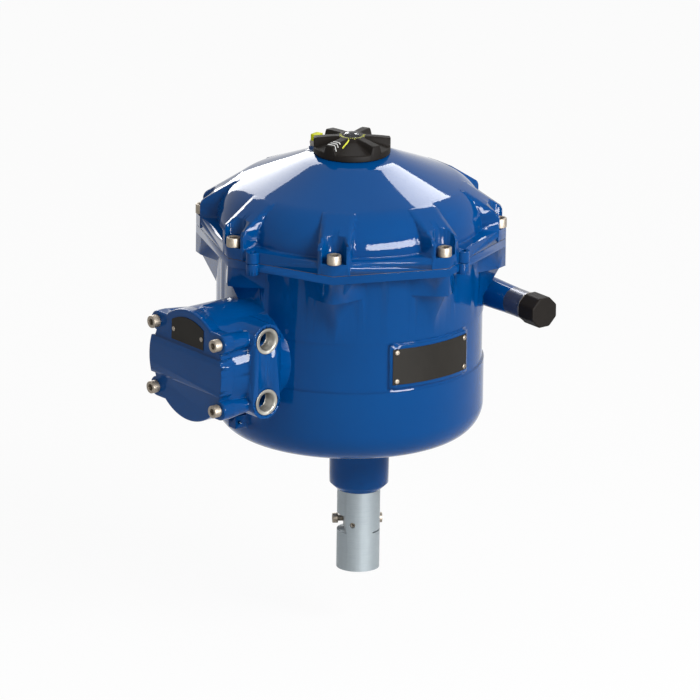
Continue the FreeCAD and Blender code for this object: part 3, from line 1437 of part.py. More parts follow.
spindle = hand_body("spindle")
revolve(spindle, "spindle_turned", [
    ("0", "mitre_inner * mitre_radius"),
    ("spindle_radius", "mitre_inner * mitre_radius"),
    ("spindle_radius", "bracket_start + bracket_depth + hand_collar_gap"),
    ("jaw_radius", "bracket_start + bracket_depth + hand_collar_gap"),
    ("jaw_radius", "hand_shaft_start - jaw_gap"),
    ("0", "hand_shaft_start - jaw_gap"),
])
slot = outline(new_sketch(spindle, "jaw_slot_plan", "XY_Plane", "hand_shaft_start - jaw_gap"), [
    ("-jaw_width / 2", "-2 * jaw_radius"),
    ("jaw_width / 2", "-2 * jaw_radius"),
    ("jaw_width / 2", "2 * jaw_radius"),
    ("-jaw_width / 2", "2 * jaw_radius"),
])
pocket(spindle, "jaw_slot", slot, "jaw_depth")
node("clutch_spindle", spindle)

bracket_block = box("bracket_block", "bracket_inner + bracket_outer", "bracket_depth",
                    "hand_height + bracket_outer - (%s)" % PLATE_TOP,
                    "hand_offset - bracket_inner", "-bracket_start - bracket_depth", PLATE_TOP)
bracket_bore = cylinder("bracket_bore", "spindle_radius + running_fit", "bracket_depth + 2",
                        "hand_offset", "-bracket_start + 1", "hand_height", TO_MINUS_Y)
node("spindle_bracket", cut("spindle_bracket_body", bracket_block, bracket_bore))


# Bearing plate on its posts
def bearing_plate():
    disc = cylinder("bearing_disc", "bearing_plate_radius", "plate_depth", HOUSING_AXIS, 0, "plate_bottom")
    holes = [
        cylinder("bearing_seat", "bearing_radius + seat_gap", "plate_depth + 2", 0, 0, "plate_bottom - 1"),
        cylinder("motor_shaft_hole", "motor_shaft + 2", "plate_depth + 2", "-(%s)" % GEAR_DISTANCE, 0,
                 "plate_bottom - 1"),
        cylinder("layshaft_hole", "lay_radius + running_fit", "plate_depth + 2", GEAR_DISTANCE, 0,
                 "plate_bottom - 1"),
    ]
    holes += around(lambda number, x, y: cylinder("plate_bolt_hole_%d" % number,
                                                  "plate_bolt_radius + bolt_clearance",
                                                  "plate_depth + 2", x, y, "plate_bottom - 1"),
                    range(45, 360, 90), "post_circle")
    return cut("bearing_plate_body", disc, *holes)


node("bearing_plate", bearing_plate())
plate_post = tube("plate_post", "post_radius", "plate_bolt_radius + thread_gap",
                  "plate_bottom - floor_thickness")
post_places = []
plate_bolt_places = []
for angle in range(45, 360, 90):
    x = "-axis_offset + post_circle * cos(%d)" % angle
    y = "post_circle * sin(%d)" % angle
    post_places.append(spot(x, y, "floor_thickness"))
    plate_bolt_places.append(spot(x, y, PLATE_TOP))
node("plate_posts", group("plate_post_set", plate_post, post_places))
plate_bolt = socket_screw("plate_bolt", "plate_bolt_radius", "plate_bolt_length", "plate_bolt_head_radius",
                          "plate_bolt_head", "plate_bolt_radius * 0.8")
node("plate_bolts", group("plate_bolt_set", plate_bolt, plate_bolt_places))

# Motor, hung under the bearing plate
MOTOR_X = "-(%s)" % GEAR_DISTANCE
motor_case = cylinder("motor_case_outer", "motor_radius", "motor_length - motor_cap", MOTOR_X, 0,
                      "plate_bottom - motor_length + motor_cap")
motor_room = cylinder("motor_room", "motor_radius - motor_wall",
                      "motor_length - motor_cap - motor_wall", MOTOR_X, 0,
                      "plate_bottom - motor_length + motor_cap - 0")
motor_mouth = cylinder("motor_mouth", "motor_shaft + running_fit", "motor_wall + 2", MOTOR_X, 0,
                       "plate_bottom - motor_wall - 1")
node("motor_case", cut("motor_case_body", motor_case, motor_room, motor_mouth))
node("motor_end_cap", tube("motor_end_cap_body", "motor_radius", "motor_shaft + running_fit", "motor_cap",
                           MOTOR_X, 0, "plate_bottom - motor_length"))
node("motor_stator", tube("motor_stator_body", "motor_radius - motor_wall - seat_gap", "stator_inner",
                          "stator_length", MOTOR_X, 0, "plate_bottom - motor_length + motor_cap"))
rotor = new_body("rotor", MOTOR_X, 0, "plate_bottom - motor_length")
revolve(rotor, "rotor_turned", [
    ("0", "1"),
    ("motor_shaft", "1"),
    ("motor_shaft", "motor_cap + 2"),
    ("rotor_radius", "motor_cap + 2"),
    ("rotor_radius", "motor_cap + stator_length - 2"),
    ("motor_shaft", "motor_cap + stator_length - 2"),
    ("motor_shaft", "motor_length + gear_bottom - plate_bottom + gear_thickness"),
    ("0", "motor_length + gear_bottom - plate_bottom + gear_thickness"),
])
node("motor_rotor", rotor)


# Circuit board over the gears, its posts, capacitors and the position sensor
def circuit_board():
    disc = cylinder("board_disc", "board_radius", "board_thickness", HOUSING_AXIS, 0, "board_height")
    side = box("board_side", "board_radius", "4 * board_radius", "board_thickness + 2",
               "-axis_offset + board_radius * 0.62", "-2 * board_radius", "board_height - 1")
    return cut("circuit_board_body", disc, side)


node("circuit_board", circuit_board())
BOARD_POST_ANGLES = (62, 118, 242, 298)
board_post = cylinder("board_post", "board_post_radius", "board_height - (%s)" % PLATE_TOP)
node("board_posts", group("board_post_set", board_post, [
    spot("-axis_offset + board_post_circle * cos(%d)" % angle, "board_post_circle * sin(%d)" % angle,
         PLATE_TOP)
    for angle in BOARD_POST_ANGLES]))
capacitor = cylinder("capacitor", "capacitor_radius", "capacitor_length")
node("capacitor_pack", group("capacitor_set", capacitor, [
    spot("-axis_offset - 40", "capacitor_step * %d" % step, "board_height + board_thickness")
    for step in (-1, 0, 1)]))
node("position_sensor", cylinder("position_sensor_body", "sensor_radius",
                                 "board_height - screw_top - sensor_gap", 0, 0,
                                 "screw_top + sensor_gap"))

doc.recompute()
os.makedirs("parts", exist_ok=True)
faults = [item.Name for item in doc.Objects if "Invalid" in item.State or "Error" in item.State]
if faults:
    raise RuntimeError("failed objects: " + ", ".join(faults))
for name, item in nodes.items():
    if item.Shape.isNull() or not item.Shape.isValid():
        raise RuntimeError("bad shape: " + name)
for name, item in nodes.items():
    item.Shape.exportStep("parts/%s.step" % name)
    print("%-24s %3d solids %12.0f mm3" % (name, len(item.Shape.Solids), item.Shape.Volume))
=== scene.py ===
import json
import math

import bmesh
import bpy
from mathutils import Matrix, Vector


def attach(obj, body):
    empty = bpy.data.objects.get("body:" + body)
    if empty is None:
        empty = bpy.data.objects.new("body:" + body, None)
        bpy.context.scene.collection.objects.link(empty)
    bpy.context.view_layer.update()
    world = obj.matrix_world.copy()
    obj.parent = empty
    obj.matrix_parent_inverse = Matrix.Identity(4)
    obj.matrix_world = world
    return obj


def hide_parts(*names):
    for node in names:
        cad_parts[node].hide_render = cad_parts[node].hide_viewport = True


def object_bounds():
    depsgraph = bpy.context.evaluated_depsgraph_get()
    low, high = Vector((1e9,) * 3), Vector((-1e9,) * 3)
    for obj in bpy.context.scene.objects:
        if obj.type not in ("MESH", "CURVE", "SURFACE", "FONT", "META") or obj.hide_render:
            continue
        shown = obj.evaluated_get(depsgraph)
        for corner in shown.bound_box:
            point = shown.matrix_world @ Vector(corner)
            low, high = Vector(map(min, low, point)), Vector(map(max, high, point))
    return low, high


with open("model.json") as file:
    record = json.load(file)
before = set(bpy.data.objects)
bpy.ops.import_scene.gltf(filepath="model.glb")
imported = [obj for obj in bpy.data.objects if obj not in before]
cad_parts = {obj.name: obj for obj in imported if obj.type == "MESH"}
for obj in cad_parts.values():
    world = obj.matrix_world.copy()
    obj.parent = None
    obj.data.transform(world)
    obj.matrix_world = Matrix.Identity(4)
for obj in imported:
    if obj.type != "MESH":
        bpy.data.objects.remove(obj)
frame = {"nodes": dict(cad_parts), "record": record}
cad_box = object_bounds()
mm = 0.001

# Places on the actuator, in metres: the origin is on the output axis, under the housing
DRUM_X = -18.6 * mm
KNOB_FOOT_Z = 361.1 * mm
LID_FACE_X = -277.6 * mm
TERMINAL_Z = 127.9 * mm
PLATE_Z = 129.1 * mm

# Camera, and how its picture lies on the object
CAMERA_AZIMUTH = math.radians(-38.74)
CAMERA_ELEVATION = math.radians(17.7)
CAMERA_ROLL = math.radians(0.8)
CAMERA_DISTANCE = 25.0
CAMERA_LENS = 1020.9
CAMERA_REACH = 90
CAMERA_AIM = Vector((DRUM_X, 0, 99.6 * mm))
CAMERA_AIM_SIDE = 1.0 * mm

camera_right = Vector((math.cos(CAMERA_AZIMUTH), math.sin(CAMERA_AZIMUTH), 0))
camera_forward = Vector((-math.sin(CAMERA_AZIMUTH), math.cos(CAMERA_AZIMUTH), 0))


def level_direction(angle):
    """A level direction by its angle from +X, in radians."""
    return Vector((math.cos(angle), math.sin(angle), 0))


def from_camera_side(azimuth, elevation):
    """A direction by its angle to the right of the camera's line of sight and its height, in degrees."""
    turn = math.radians(azimuth)
    rise = math.radians(elevation)
    level = camera_forward * math.cos(turn) + camera_right * math.sin(turn)
    return level * math.cos(rise) + Vector((0, 0, math.sin(rise)))


def turned_to(forward, roll=0.0):
    """The rotation of a camera or lamp that looks along forward."""
    back = -forward.normalized()
    right = Vector((0, 0, 1)).cross(back).normalized()
    up = back.cross(right)
    side = right * math.cos(roll) + up * math.sin(roll)
    top = up * math.cos(roll) - right * math.sin(roll)
    return Matrix((side, top, back)).transposed().to_4x4()


def add_camera():
    data = bpy.data.cameras.new("photo_camera")
    data.lens = CAMERA_LENS
    data.clip_end = CAMERA_REACH
    camera = bpy.data.objects.new("photo_camera", data)
    bpy.context.scene.collection.objects.link(camera)
    toward = from_camera_side(180, math.degrees(CAMERA_ELEVATION))
    aim = CAMERA_AIM + camera_right * CAMERA_AIM_SIDE
    place = Matrix.Translation(aim + toward * CAMERA_DISTANCE)
    camera.matrix_world = place @ turned_to(-toward, CAMERA_ROLL)
    bpy.context.scene.camera = camera


def add_softbox(name, azimuth, elevation, distance, width, height, power, shine=False):
    """A white softbox that looks at the object: it lights the surfaces, or only shines in their gloss."""
    data = bpy.data.lights.new(name, "AREA")
    data.shape = "RECTANGLE"
    data.size = width
    data.size_y = height
    data.energy = power
    lamp = bpy.data.objects.new(name, data)
    lamp.visible_diffuse = not shine
    lamp.visible_glossy = shine
    lamp.visible_camera = False
    bpy.context.scene.collection.objects.link(lamp)
    direction = from_camera_side(azimuth, elevation)
    place = Matrix.Translation(CAMERA_AIM + direction * distance)
    lamp.matrix_world = place @ turned_to(-direction)


add_camera()
add_softbox("key_softbox", azimuth=135, elevation=36, distance=2.6, width=1.3, height=1.3, power=60)
add_softbox("fill_softbox", azimuth=-140, elevation=34, distance=2.8, width=1.2, height=1.4, power=2)
add_softbox("top_softbox", azimuth=180, elevation=82, distance=2.4, width=0.9, height=0.9, power=4)
add_softbox("left_shine_softbox", azimuth=-17.5, elevation=22, distance=9.6,
            width=3.4, height=5.9, power=580, shine=True)
add_softbox("right_shine_softbox", azimuth=22, elevation=41.8, distance=9.6,
            width=2.0, height=3.05, power=310, shine=True)
add_softbox("front_shine_softbox", azimuth=145, elevation=11, distance=6.0,
            width=4.6, height=1.5, power=1150, shine=True)


# Finishes
class Wire:
    """One output of a material's nodes, which takes part in sums like a number."""

    def __init__(self, finish, socket):
        self.finish = finish
        self.socket = socket

    def _math(self, operation, other):
        return self.finish.node("Math", {"operation": operation}, {0: self, 1: other})

    def __add__(self, other):
        return self._math("ADD", other)

    def __mul__(self, other):
        return self._math("MULTIPLY", other)

    __radd__ = __add__


class Finish:
    """A material or world that is built node by node."""

    def __init__(self, name, owner=None, coordinates="Object"):
        self.material = owner or bpy.data.materials.new(name)
        self.material.use_nodes = True
        self.tree = self.material.node_tree
        self.tree.nodes.clear()
        self.place = self.node("TexCoord", output=coordinates)

    def node(self, kind, settings=None, values=None, output=0):
        """Add a node: its settings first, then numbers or wires on its sockets."""
        node = self.tree.nodes.new("ShaderNode" + kind)
        for key, setting in (settings or {}).items():
            setattr(node, key, setting)
        for key, value in (values or {}).items():
            if isinstance(value, Wire):
                self.tree.links.new(value.socket, node.inputs[key])
            else:
                node.inputs[key].default_value = value
        return Wire(self, node.outputs[output]) if node.outputs else None

    def noise(self, scale, detail=2.0, roughness=0.5, place=None):
        values = {"Vector": place or self.place, "Scale": scale, "Detail": detail, "Roughness": roughness}
        return self.node("TexNoise", None, values, "Fac")

    def stretched(self, x, y, z):
        """Object coordinates scaled by one number for each axis."""
        return self.node("VectorMath", {"operation": "MULTIPLY"}, {0: self.place, 1: (x, y, z)})

    def mix(self, share, first, second):
        """Go from the first colour to the second by a share from 0 to 1."""
        return self.node("Mix", {"data_type": "RGBA"}, {0: share, 6: first, 7: second}, 2)

    def clamped(self, value, low, high):
        """Zero up to low, one from high on, and even in between."""
        values = {"Value": value, "From Min": low, "From Max": high, "To Min": 0.0, "To Max": 1.0}
        return self.node("MapRange", {"clamp": True}, values)

    def bump(self, height, distance, strength=1.0, normal=None):
        values = {"Height": height, "Distance": distance, "Strength": strength}
        if normal is not None:
            values["Normal"] = normal
        return self.node("Bump", None, values)

    def ray(self, kind):
        return self.node("LightPath", output=kind)

    def seen(self):
        """One where a ray from the camera, in a gloss or through glass meets the background."""
        return self.ray("Is Camera Ray") + self.ray("Is Glossy Ray") + self.ray("Is Transmission Ray")

    def rounded(self, radius):
        """A normal that turns smoothly over sharp edges, as on a casting."""
        return self.node("Bevel", {"samples": 6}, {"Radius": radius})

    def finish(self, **values):
        """Put the values on a Principled shader and hand out the material."""
        named = {}
        for key, value in values.items():
            named[key.replace("_", " ").title().replace("Ior", "IOR")] = value
        shader = self.node("BsdfPrincipled", None, named)
        self.node("OutputMaterial", None, {"Surface": shader})
        return self.material


def srgb(red, green, blue):
    """A colour written as on a screen, 0 to 255, as the shader wants it."""
    linear = []
    for level in (red, green, blue):
        share = level / 255
        linear.append(share / 12.92 if share <= 0.04045 else ((share + 0.055) / 1.055) ** 2.4)
    return (*linear, 1.0)


# Low indices of refraction keep the pale veil of the white studio off the dark colours
PAINT_IOR = 1.22
PLASTIC_IOR = 1.16
LABEL_IOR = 1.18
LENS_IOR = 1.5


def blue_paint():
    """Gloss paint on a casting: a slight orange peel, long waves and a film of dust."""
    paint = Finish("blue_paint")
    clouds = paint.noise(9, 3)
    peel = paint.noise(420, 2)
    waves = paint.noise(34, 1)
    colour = paint.mix(clouds, srgb(0, 66, 128), srgb(0, 73, 137))
    dust = paint.clamped(paint.noise(55, 6, 0.65), 0.55, 0.9)
    relief = paint.bump(peel * 0.6 + waves * 0.7, 0.00002, 0.5, paint.rounded(1.0 * mm))
    return paint.finish(base_color=colour, roughness=0.04 + dust * 0.06, normal=relief, ior=PAINT_IOR)


def turned_metal(name, dark, light, roughness, rings=2600.0, metallic=1.0, axis="z"):
    """Metal with the fine marks of a lathe across its axis and a little cloudiness."""
    metal = Finish(name)
    stretch = {"z": (40, 40, rings), "y": (40, rings, 40), "none": (rings / 6,) * 3}[axis]
    marks = metal.noise(1.0, 2, 0.6, metal.stretched(*stretch))
    clouds = metal.noise(60, 4, 0.6)
    colour = metal.mix(metal.clamped(marks * 0.6 + clouds * 0.4, 0.3, 0.7), dark, light)
    relief = metal.bump(marks, 0.00002, 0.5, metal.rounded(0.25 * mm))
    return metal.finish(base_color=colour, metallic=metallic, roughness=roughness + marks * 0.12,
                        normal=relief)


def moulded(name, dark, light, roughness, grain, edge):
    """Plastic or rubber with a fine moulded grain."""
    plastic = Finish(name)
    clouds = plastic.noise(40, 3)
    skin = plastic.noise(grain, 3, 0.6)
    colour = plastic.mix(clouds, dark, light)
    relief = plastic.bump(skin, 0.00004, 0.5, plastic.rounded(edge))
    return plastic.finish(base_color=colour, roughness=roughness + skin * 0.12, normal=relief,
                          ior=PLASTIC_IOR)


def gasket_fibre():
    """Pressed fibre sheet, seen at its cut edge."""
    sheet = Finish("gasket_fibre")
    fibres = sheet.noise(1.0, 5, 0.7, sheet.stretched(900, 900, 2600))
    colour = sheet.mix(fibres, srgb(66, 56, 48), srgb(118, 104, 90))
    return sheet.finish(base_color=colour, roughness=0.85, normal=sheet.bump(fibres, 0.0001))


def label_face():
    """Anodised sheet: satin black with the faint long grain of rolled stock."""
    sheet = Finish("black_label")
    grain = sheet.noise(1.0, 3, 0.55, sheet.stretched(160, 160, 3200))
    clouds = sheet.noise(30, 3)
    colour = sheet.mix(clouds, srgb(36, 34, 31), srgb(47, 44, 40))
    relief = sheet.bump(grain, 0.00001, 0.5, sheet.rounded(0.3 * mm))
    return sheet.finish(base_color=colour, roughness=0.42 + grain * 0.12, ior=LABEL_IOR, normal=relief)


def clear_lens():
    """A clear hard dome, dark where it stands over the display."""
    dome = Finish("clear_lens")
    tint = dome.mix(dome.noise(200, 2), srgb(44, 46, 50), srgb(58, 60, 64))
    wipe = dome.noise(700, 3, 0.6)
    return dome.finish(base_color=tint, roughness=0.03 + wipe * 0.04, alpha=0.62, ior=LENS_IOR)


def printed(name, dark, light):
    """Ink with a fine speckle."""
    ink = Finish(name)
    speckle = ink.noise(1500, 3, 0.6)
    colour = ink.mix(speckle, dark, light)
    relief = ink.bump(speckle, 0.00002, 0.4)
    return ink.finish(base_color=colour, roughness=0.5 + speckle * 0.1, normal=relief)


def board_green():
    """A circuit board with raised tracks under its green lacquer."""
    board = Finish("board_green")
    cells = board.node("TexVoronoi", {"distance": "CHEBYCHEV"}, {"Vector": board.place, "Scale": 90.0})
    tracks = board.clamped(cells, 0.3, 0.34)
    colour = board.mix(tracks, srgb(20, 84, 46), srgb(12, 62, 34))
    return board.finish(base_color=colour, roughness=0.35, normal=board.bump(tracks, 0.00003))


finishes = {
    "blue_paint": blue_paint(),
    "gasket_fibre": gasket_fibre(),
    "screw_steel": turned_metal("screw_steel", srgb(122, 113, 102), srgb(162, 152, 138), 0.42,
                                metallic=0.6, axis="none"),
    "black_plastic": moulded("black_plastic", srgb(27, 24, 22), srgb(35, 31, 28),
                             roughness=0.5, grain=2600, edge=0.7 * mm),
    "clear_lens": clear_lens(),
    "yellow_plastic": moulded("yellow_plastic", srgb(196, 200, 12), srgb(216, 218, 24),
                              roughness=0.36, grain=1800, edge=0.6 * mm),
    "bracket_steel": turned_metal("bracket_steel", srgb(116, 112, 106), srgb(160, 156, 150), 0.38,
                                  axis="none"),
    "seal_rubber": moulded("seal_rubber", srgb(24, 24, 24), srgb(36, 36, 36),
                           roughness=0.6, grain=1400, edge=0.4 * mm),
    "black_label": label_face(),
    "turned_steel": turned_metal("turned_steel", srgb(140, 150, 155), srgb(158, 167, 171), 0.42,
                                 metallic=0.25),
    "bronze": turned_metal("bronze", srgb(150, 104, 52), srgb(196, 148, 84), 0.34),
    "motor_alloy": turned_metal("motor_alloy", srgb(140, 142, 144), srgb(176, 178, 180), 0.45),
    "board_green": board_green(),
    "capacitor_sleeve": moulded("capacitor_sleeve", srgb(22, 30, 60), srgb(34, 42, 78),
                                roughness=0.4, grain=1200, edge=0.5 * mm),
}
sleeve_steel = turned_metal("sleeve_steel", srgb(66, 70, 86), srgb(84, 88, 104), 0.26,
                            metallic=0.4, axis="y")
entry_steel = turned_metal("entry_steel", srgb(122, 120, 114), srgb(156, 154, 146), 0.36,
                           rings=1500.0, axis="y")
white_ink = printed("white_ink", srgb(206, 208, 206), srgb(232, 232, 230))
yellow_ink = printed("yellow_ink", srgb(196, 198, 30), srgb(222, 224, 60))
display_dark = moulded("display_dark", srgb(30, 32, 36), srgb(44, 46, 52),
                       roughness=0.25, grain=900, edge=0.2 * mm)
screw_finish = finishes["screw_steel"]

SLOT_OF_NODE = {row["node"]: row["material_slot"] for row in frame["record"]["subparts"]}
BODY_OF_NODE = {}
for body, members in frame["record"]["behaviour"]["bodies"].items():
    for name in members:
        BODY_OF_NODE[name] = body


def paint_over(piece, material):
    piece.data.materials.clear()
    piece.data.materials.append(material)


for name, piece in frame["nodes"].items():
    paint_over(piece, finishes[SLOT_OF_NODE[name]])


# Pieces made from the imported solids, with their loose triangles joined and their curves made smooth
SHARP_FROM = 32.0
WELD_DISTANCE = 0.004 * mm
SLIVER_LENGTH = 0.002 * mm


def new_piece(name, mesh, material, sharp_from=SHARP_FROM):
    """An object that is smooth up to an angle between its faces, in degrees."""
    for face in mesh.polygons:
        face.use_smooth = True
    mesh.set_sharp_from_angle(angle=math.radians(sharp_from))
    piece = bpy.data.objects.new(name, mesh)
    bpy.context.scene.collection.objects.link(piece)
    if material:
        paint_over(piece, material)
    return piece


def seat(piece, body, slot, *replaced):
    """Attach a finished piece to the empty of the body it moves with, and hide the CAD nodes that it stands
    for. The slot is not used.
    """
    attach(piece, body)
    if replaced:
        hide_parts(*replaced)
    return piece


def smooth_copy(node, name, sharp_from=SHARP_FROM, material=None):
    """A smooth copy of one CAD node, which takes its place."""
    mesh = frame["nodes"][node].data.copy()
    mesh.name = name
    work = bmesh.new()
    work.from_mesh(mesh)
    bmesh.ops.remove_doubles(work, verts=work.verts, dist=WELD_DISTANCE)
    bmesh.ops.dissolve_degenerate(work, dist=SLIVER_LENGTH, edges=work.edges)
    work.to_mesh(mesh)
    work.free()
    piece = new_piece(name, mesh, material, sharp_from)
    steady = piece.modifiers.new("flat_faces_stay_flat", "WEIGHTED_NORMAL")
    steady.keep_sharp = True
    steady.weight = 100
    return seat(piece, BODY_OF_NODE[node], SLOT_OF_NODE[node], node)


SMOOTHED = {
    "housing": "housing_casting",
    "top_cover": "cover_casting",
    "flange_gasket": "gasket_sheet",
    "terminal_cover": "terminal_lid",
    "output_tube": "stem_tube",
    "label_plate": "arch_label",
    "rating_plate": "curved_plate",
    "tab_bracket": "index_bracket",
    "wiper_seal": "tube_wiper",
}
for node, name in SMOOTHED.items():
    smooth_copy(node, name)
smooth_copy("drive_sleeve", "hand_sleeve", material=sleeve_steel)

# The index flag is wider and lower in the photo than it is packed
FLAG_WIDENING = 0.14
FLAG_LOWERING = 0.2
flag = smooth_copy("index_tab", "index_flag")
paint_over(flag, finishes["yellow_plastic"])
flag_left = min(vertex.co.dot(camera_right) for vertex in flag.data.vertices)
flag_foot = min(vertex.co.z for vertex in flag.data.vertices)
for vertex in flag.data.vertices:
    vertex.co += camera_right * (vertex.co.dot(camera_right) - flag_left) * FLAG_WIDENING
    vertex.co.z -= (vertex.co.z - flag_foot) * FLAG_LOWERING


# Meshes in code, skinned over loops about +Z
def add_loop(work, height, radius, segments):
    """One loop of vertices; its height and its radius are numbers, or functions of the angle."""
    loop = []
    for step in range(segments):
        angle = 2 * math.pi * step / segments
        reach = radius(angle) if callable(radius) else radius
        level = height(angle) if callable(height) else height
        loop.append(work.verts.new((reach * math.cos(angle), reach * math.sin(angle), level)))
    return loop


def skin(work, low, high):
    """Faces from one loop to the next."""
    for step in range(len(low)):
        after = (step + 1) % len(low)
        work.faces.new((low[step], low[after], high[after], high[step]))


def close(work, loop, upward):
    """A fan of faces over a loop, round a vertex in its middle."""
    middle = work.verts.new((0, 0, loop[0].co.z))
    for step in range(len(loop)):
        after = (step + 1) % len(loop)
        corners = (loop[step], loop[after], middle)
        work.faces.new(corners if upward else corners[::-1])


def written_out(work, name):
    """Turn the faces outward and hand out the mesh."""
    bmesh.ops.recalc_face_normals(work, faces=work.faces)
    mesh = bpy.data.meshes.new(name)
    work.to_mesh(mesh)
    work.free()
    return mesh


def lathe_mesh(name, loops, segments=48):
    """A solid from a stack of loops, each a height and a radius."""
    work = bmesh.new()
    rows = [add_loop(work, height, radius, segments) for height, radius in loops]
    for low, high in zip(rows, rows[1:]):
        skin(work, low, high)
    close(work, rows[0], False)
    close(work, rows[-1], True)
    return written_out(work, name)


def ring_mesh(name, section, segments=72):
    """A ring from a closed row of loops, with a hole through it."""
    work = bmesh.new()
    rows = [add_loop(work, height, radius, segments) for height, radius in section]
    for low, high in zip(rows, rows[1:] + rows[:1]):
        skin(work, low, high)
    return written_out(work, name)


def polygon_reach(sides, flats, angle):
    """The reach at an angle of an even polygon, half its distance over the flats wide."""
    half_side = math.pi / sides
    return flats / math.cos((angle + half_side) % (2 * half_side) - half_side)


def hexagon(flats):
    """A hexagon's reach for each angle."""
    return lambda angle: polygon_reach(6, flats, angle)


def octagon(flats):
    """The reach for each angle of a circle that eight flats cut."""
    return lambda angle: min(polygon_reach(8, flats, angle), flats + 1.2 * mm)


def cap_screw_mesh(name, shank, length, head, rise, socket):
    """A hexagon socket cap screw about +Z with its seat at the origin; widths are half widths."""
    edge = 0.1 * head
    return lathe_mesh(name, [
        (-length, shank * 0.8),
        (-length + 0.3 * shank, shank),
        (0, shank),
        (0, head - edge * 0.6),
        (edge * 0.6, head),
        (rise - edge, head),
        (rise - edge * 0.3, head - edge * 0.35),
        (rise, head - edge * 1.2),
        (rise, socket * 1.3),
        (rise - 0.12 * socket, socket * 1.16),
        (rise - 0.13 * socket, hexagon(socket)),
        (rise * 0.45, hexagon(socket)),
        (rise * 0.34, socket * 0.1),
    ])


def placed(mesh, spot, forward, turn=0.0):
    """A mesh made about +Z, set at a spot with +Z along forward."""
    rotation = Vector((0, 0, 1)).rotation_difference(Vector(forward)).to_matrix().to_4x4()
    mesh.transform(Matrix.Translation(spot) @ rotation @ Matrix.Rotation(turn, 4, "Z"))
    return mesh


def joined(name, meshes):
    """One mesh of several."""
    work = bmesh.new()
    for mesh in meshes:
        work.from_mesh(mesh)
    whole = bpy.data.meshes.new(name)
    work.to_mesh(whole)
    work.free()
    return whole


# A node tree for what repeats
def repeat_tree():
    """Rows of copies of one piece, each one step and one turn on from the last in its row."""
    tree = bpy.data.node_groups.new("repeated_pieces", "GeometryNodeTree")
    kinds = {
        "Piece": "NodeSocketObject",
        "Count": "NodeSocketInt",
        "Row": "NodeSocketInt",
        "Start": "NodeSocketVector",
        "Step": "NodeSocketVector",
        "Row Step": "NodeSocketVector",
        "Centre": "NodeSocketVector",
        "Turn": "NodeSocketFloat",
        "Tilt": "NodeSocketVector",
        "Finish": "NodeSocketMaterial",
    }
    inputs = {}
    for label, kind in kinds.items():
        inputs[label] = tree.interface.new_socket(label, in_out="INPUT", socket_type=kind)
    tree.interface.new_socket("Geometry", in_out="OUTPUT", socket_type="NodeSocketGeometry")

    def node(kind, settings=None, values=None):
        item = tree.nodes.new(kind)
        for key, setting in (settings or {}).items():
            setattr(item, key, setting)
        for key, value in (values or {}).items():
            if isinstance(value, bpy.types.NodeSocket):
                tree.links.new(value, item.inputs[key])
            else:
                item.inputs[key].default_value = value
        return item

    def number_math(operation, values):
        return node("ShaderNodeMath", {"operation": operation}, values).outputs[0]

    def vector_math(operation, values):
        return node("ShaderNodeVectorMath", {"operation": operation}, values).outputs[0]

    given = node("NodeGroupInput").outputs
    index = node("GeometryNodeInputIndex").outputs[0]
    place = number_math("FLOORED_MODULO", {0: index, 1: given["Row"]})
    row = number_math("FLOOR", {0: number_math("DIVIDE", {0: index, 1: given["Row"]})})
    along = vector_math("SCALE", {0: given["Step"], "Scale": place})
    across = vector_math("SCALE", {0: given["Row Step"], "Scale": row})
    steps = vector_math("ADD", {0: along, 1: across})
    spot = vector_math("ADD", {0: given["Start"], 1: steps})
    angle = number_math("MULTIPLY", {0: place, 1: given["Turn"]})
    turned = node("ShaderNodeVectorRotate", {"rotation_type": "Z_AXIS"},
                  {"Vector": spot, "Center": given["Centre"], "Angle": angle})
    points = node("GeometryNodePoints", None, {"Count": given["Count"], "Position": turned.outputs[0]})
    source = node("GeometryNodeObjectInfo", None, {"Object": given["Piece"]})
    tilted = node("FunctionNodeEulerToRotation", None, {0: given["Tilt"]})
    swing = node("FunctionNodeAxisAngleToRotation", None, {"Axis": (0, 0, 1), "Angle": angle})
    swung = node("FunctionNodeRotateRotation", {"rotation_space": "GLOBAL"},
                 {"Rotation": tilted.outputs[0], "Rotate By": swing.outputs[0]})
    copies = node("GeometryNodeInstanceOnPoints", None,
                  {"Points": points.outputs[0], "Instance": source.outputs["Geometry"],
                   "Rotation": swung.outputs[0]})
    real = node("GeometryNodeRealizeInstances", None, {0: copies.outputs[0]})
    coloured = node("GeometryNodeSetMaterial", None,
                    {"Geometry": real.outputs[0], "Material": given["Finish"]})
    result = node("NodeGroupOutput")
    tree.links.new(coloured.outputs[0], result.inputs[0])
    return tree, {label: socket.identifier for label, socket in inputs.items()}


repeated_pieces, repeat_inputs = repeat_tree()


def repeat(name, mesh, material, count, start, step=(0, 0, 0), row=0, row_step=(0, 0, 0),
           centre=(0, 0, 0), turn=0.0, tilt=(0, 0, 0)):
    """Run the tree on one mesh and keep the result as a plain piece."""
    master = bpy.data.objects.new(name + "_master", mesh)
    bpy.context.scene.collection.objects.link(master)
    carrier = bpy.data.objects.new(name, bpy.data.meshes.new(name + "_carrier"))
    bpy.context.scene.collection.objects.link(carrier)
    modifier = carrier.modifiers.new("copies", "NODES")
    modifier.node_group = repeated_pieces
    values = {"Piece": master, "Count": count, "Row": row or count, "Start": start, "Step": step,
              "Row Step": row_step, "Centre": centre, "Turn": turn, "Tilt": tilt, "Finish": material}
    for label, value in values.items():
        modifier[repeat_inputs[label]] = value
    graph = bpy.context.evaluated_depsgraph_get()
    result = bpy.data.meshes.new_from_object(carrier.evaluated_get(graph))
    carrier.modifiers.remove(modifier)
    bpy.data.objects.remove(carrier)
    bpy.data.objects.remove(master)
    return new_piece(name, result, material)


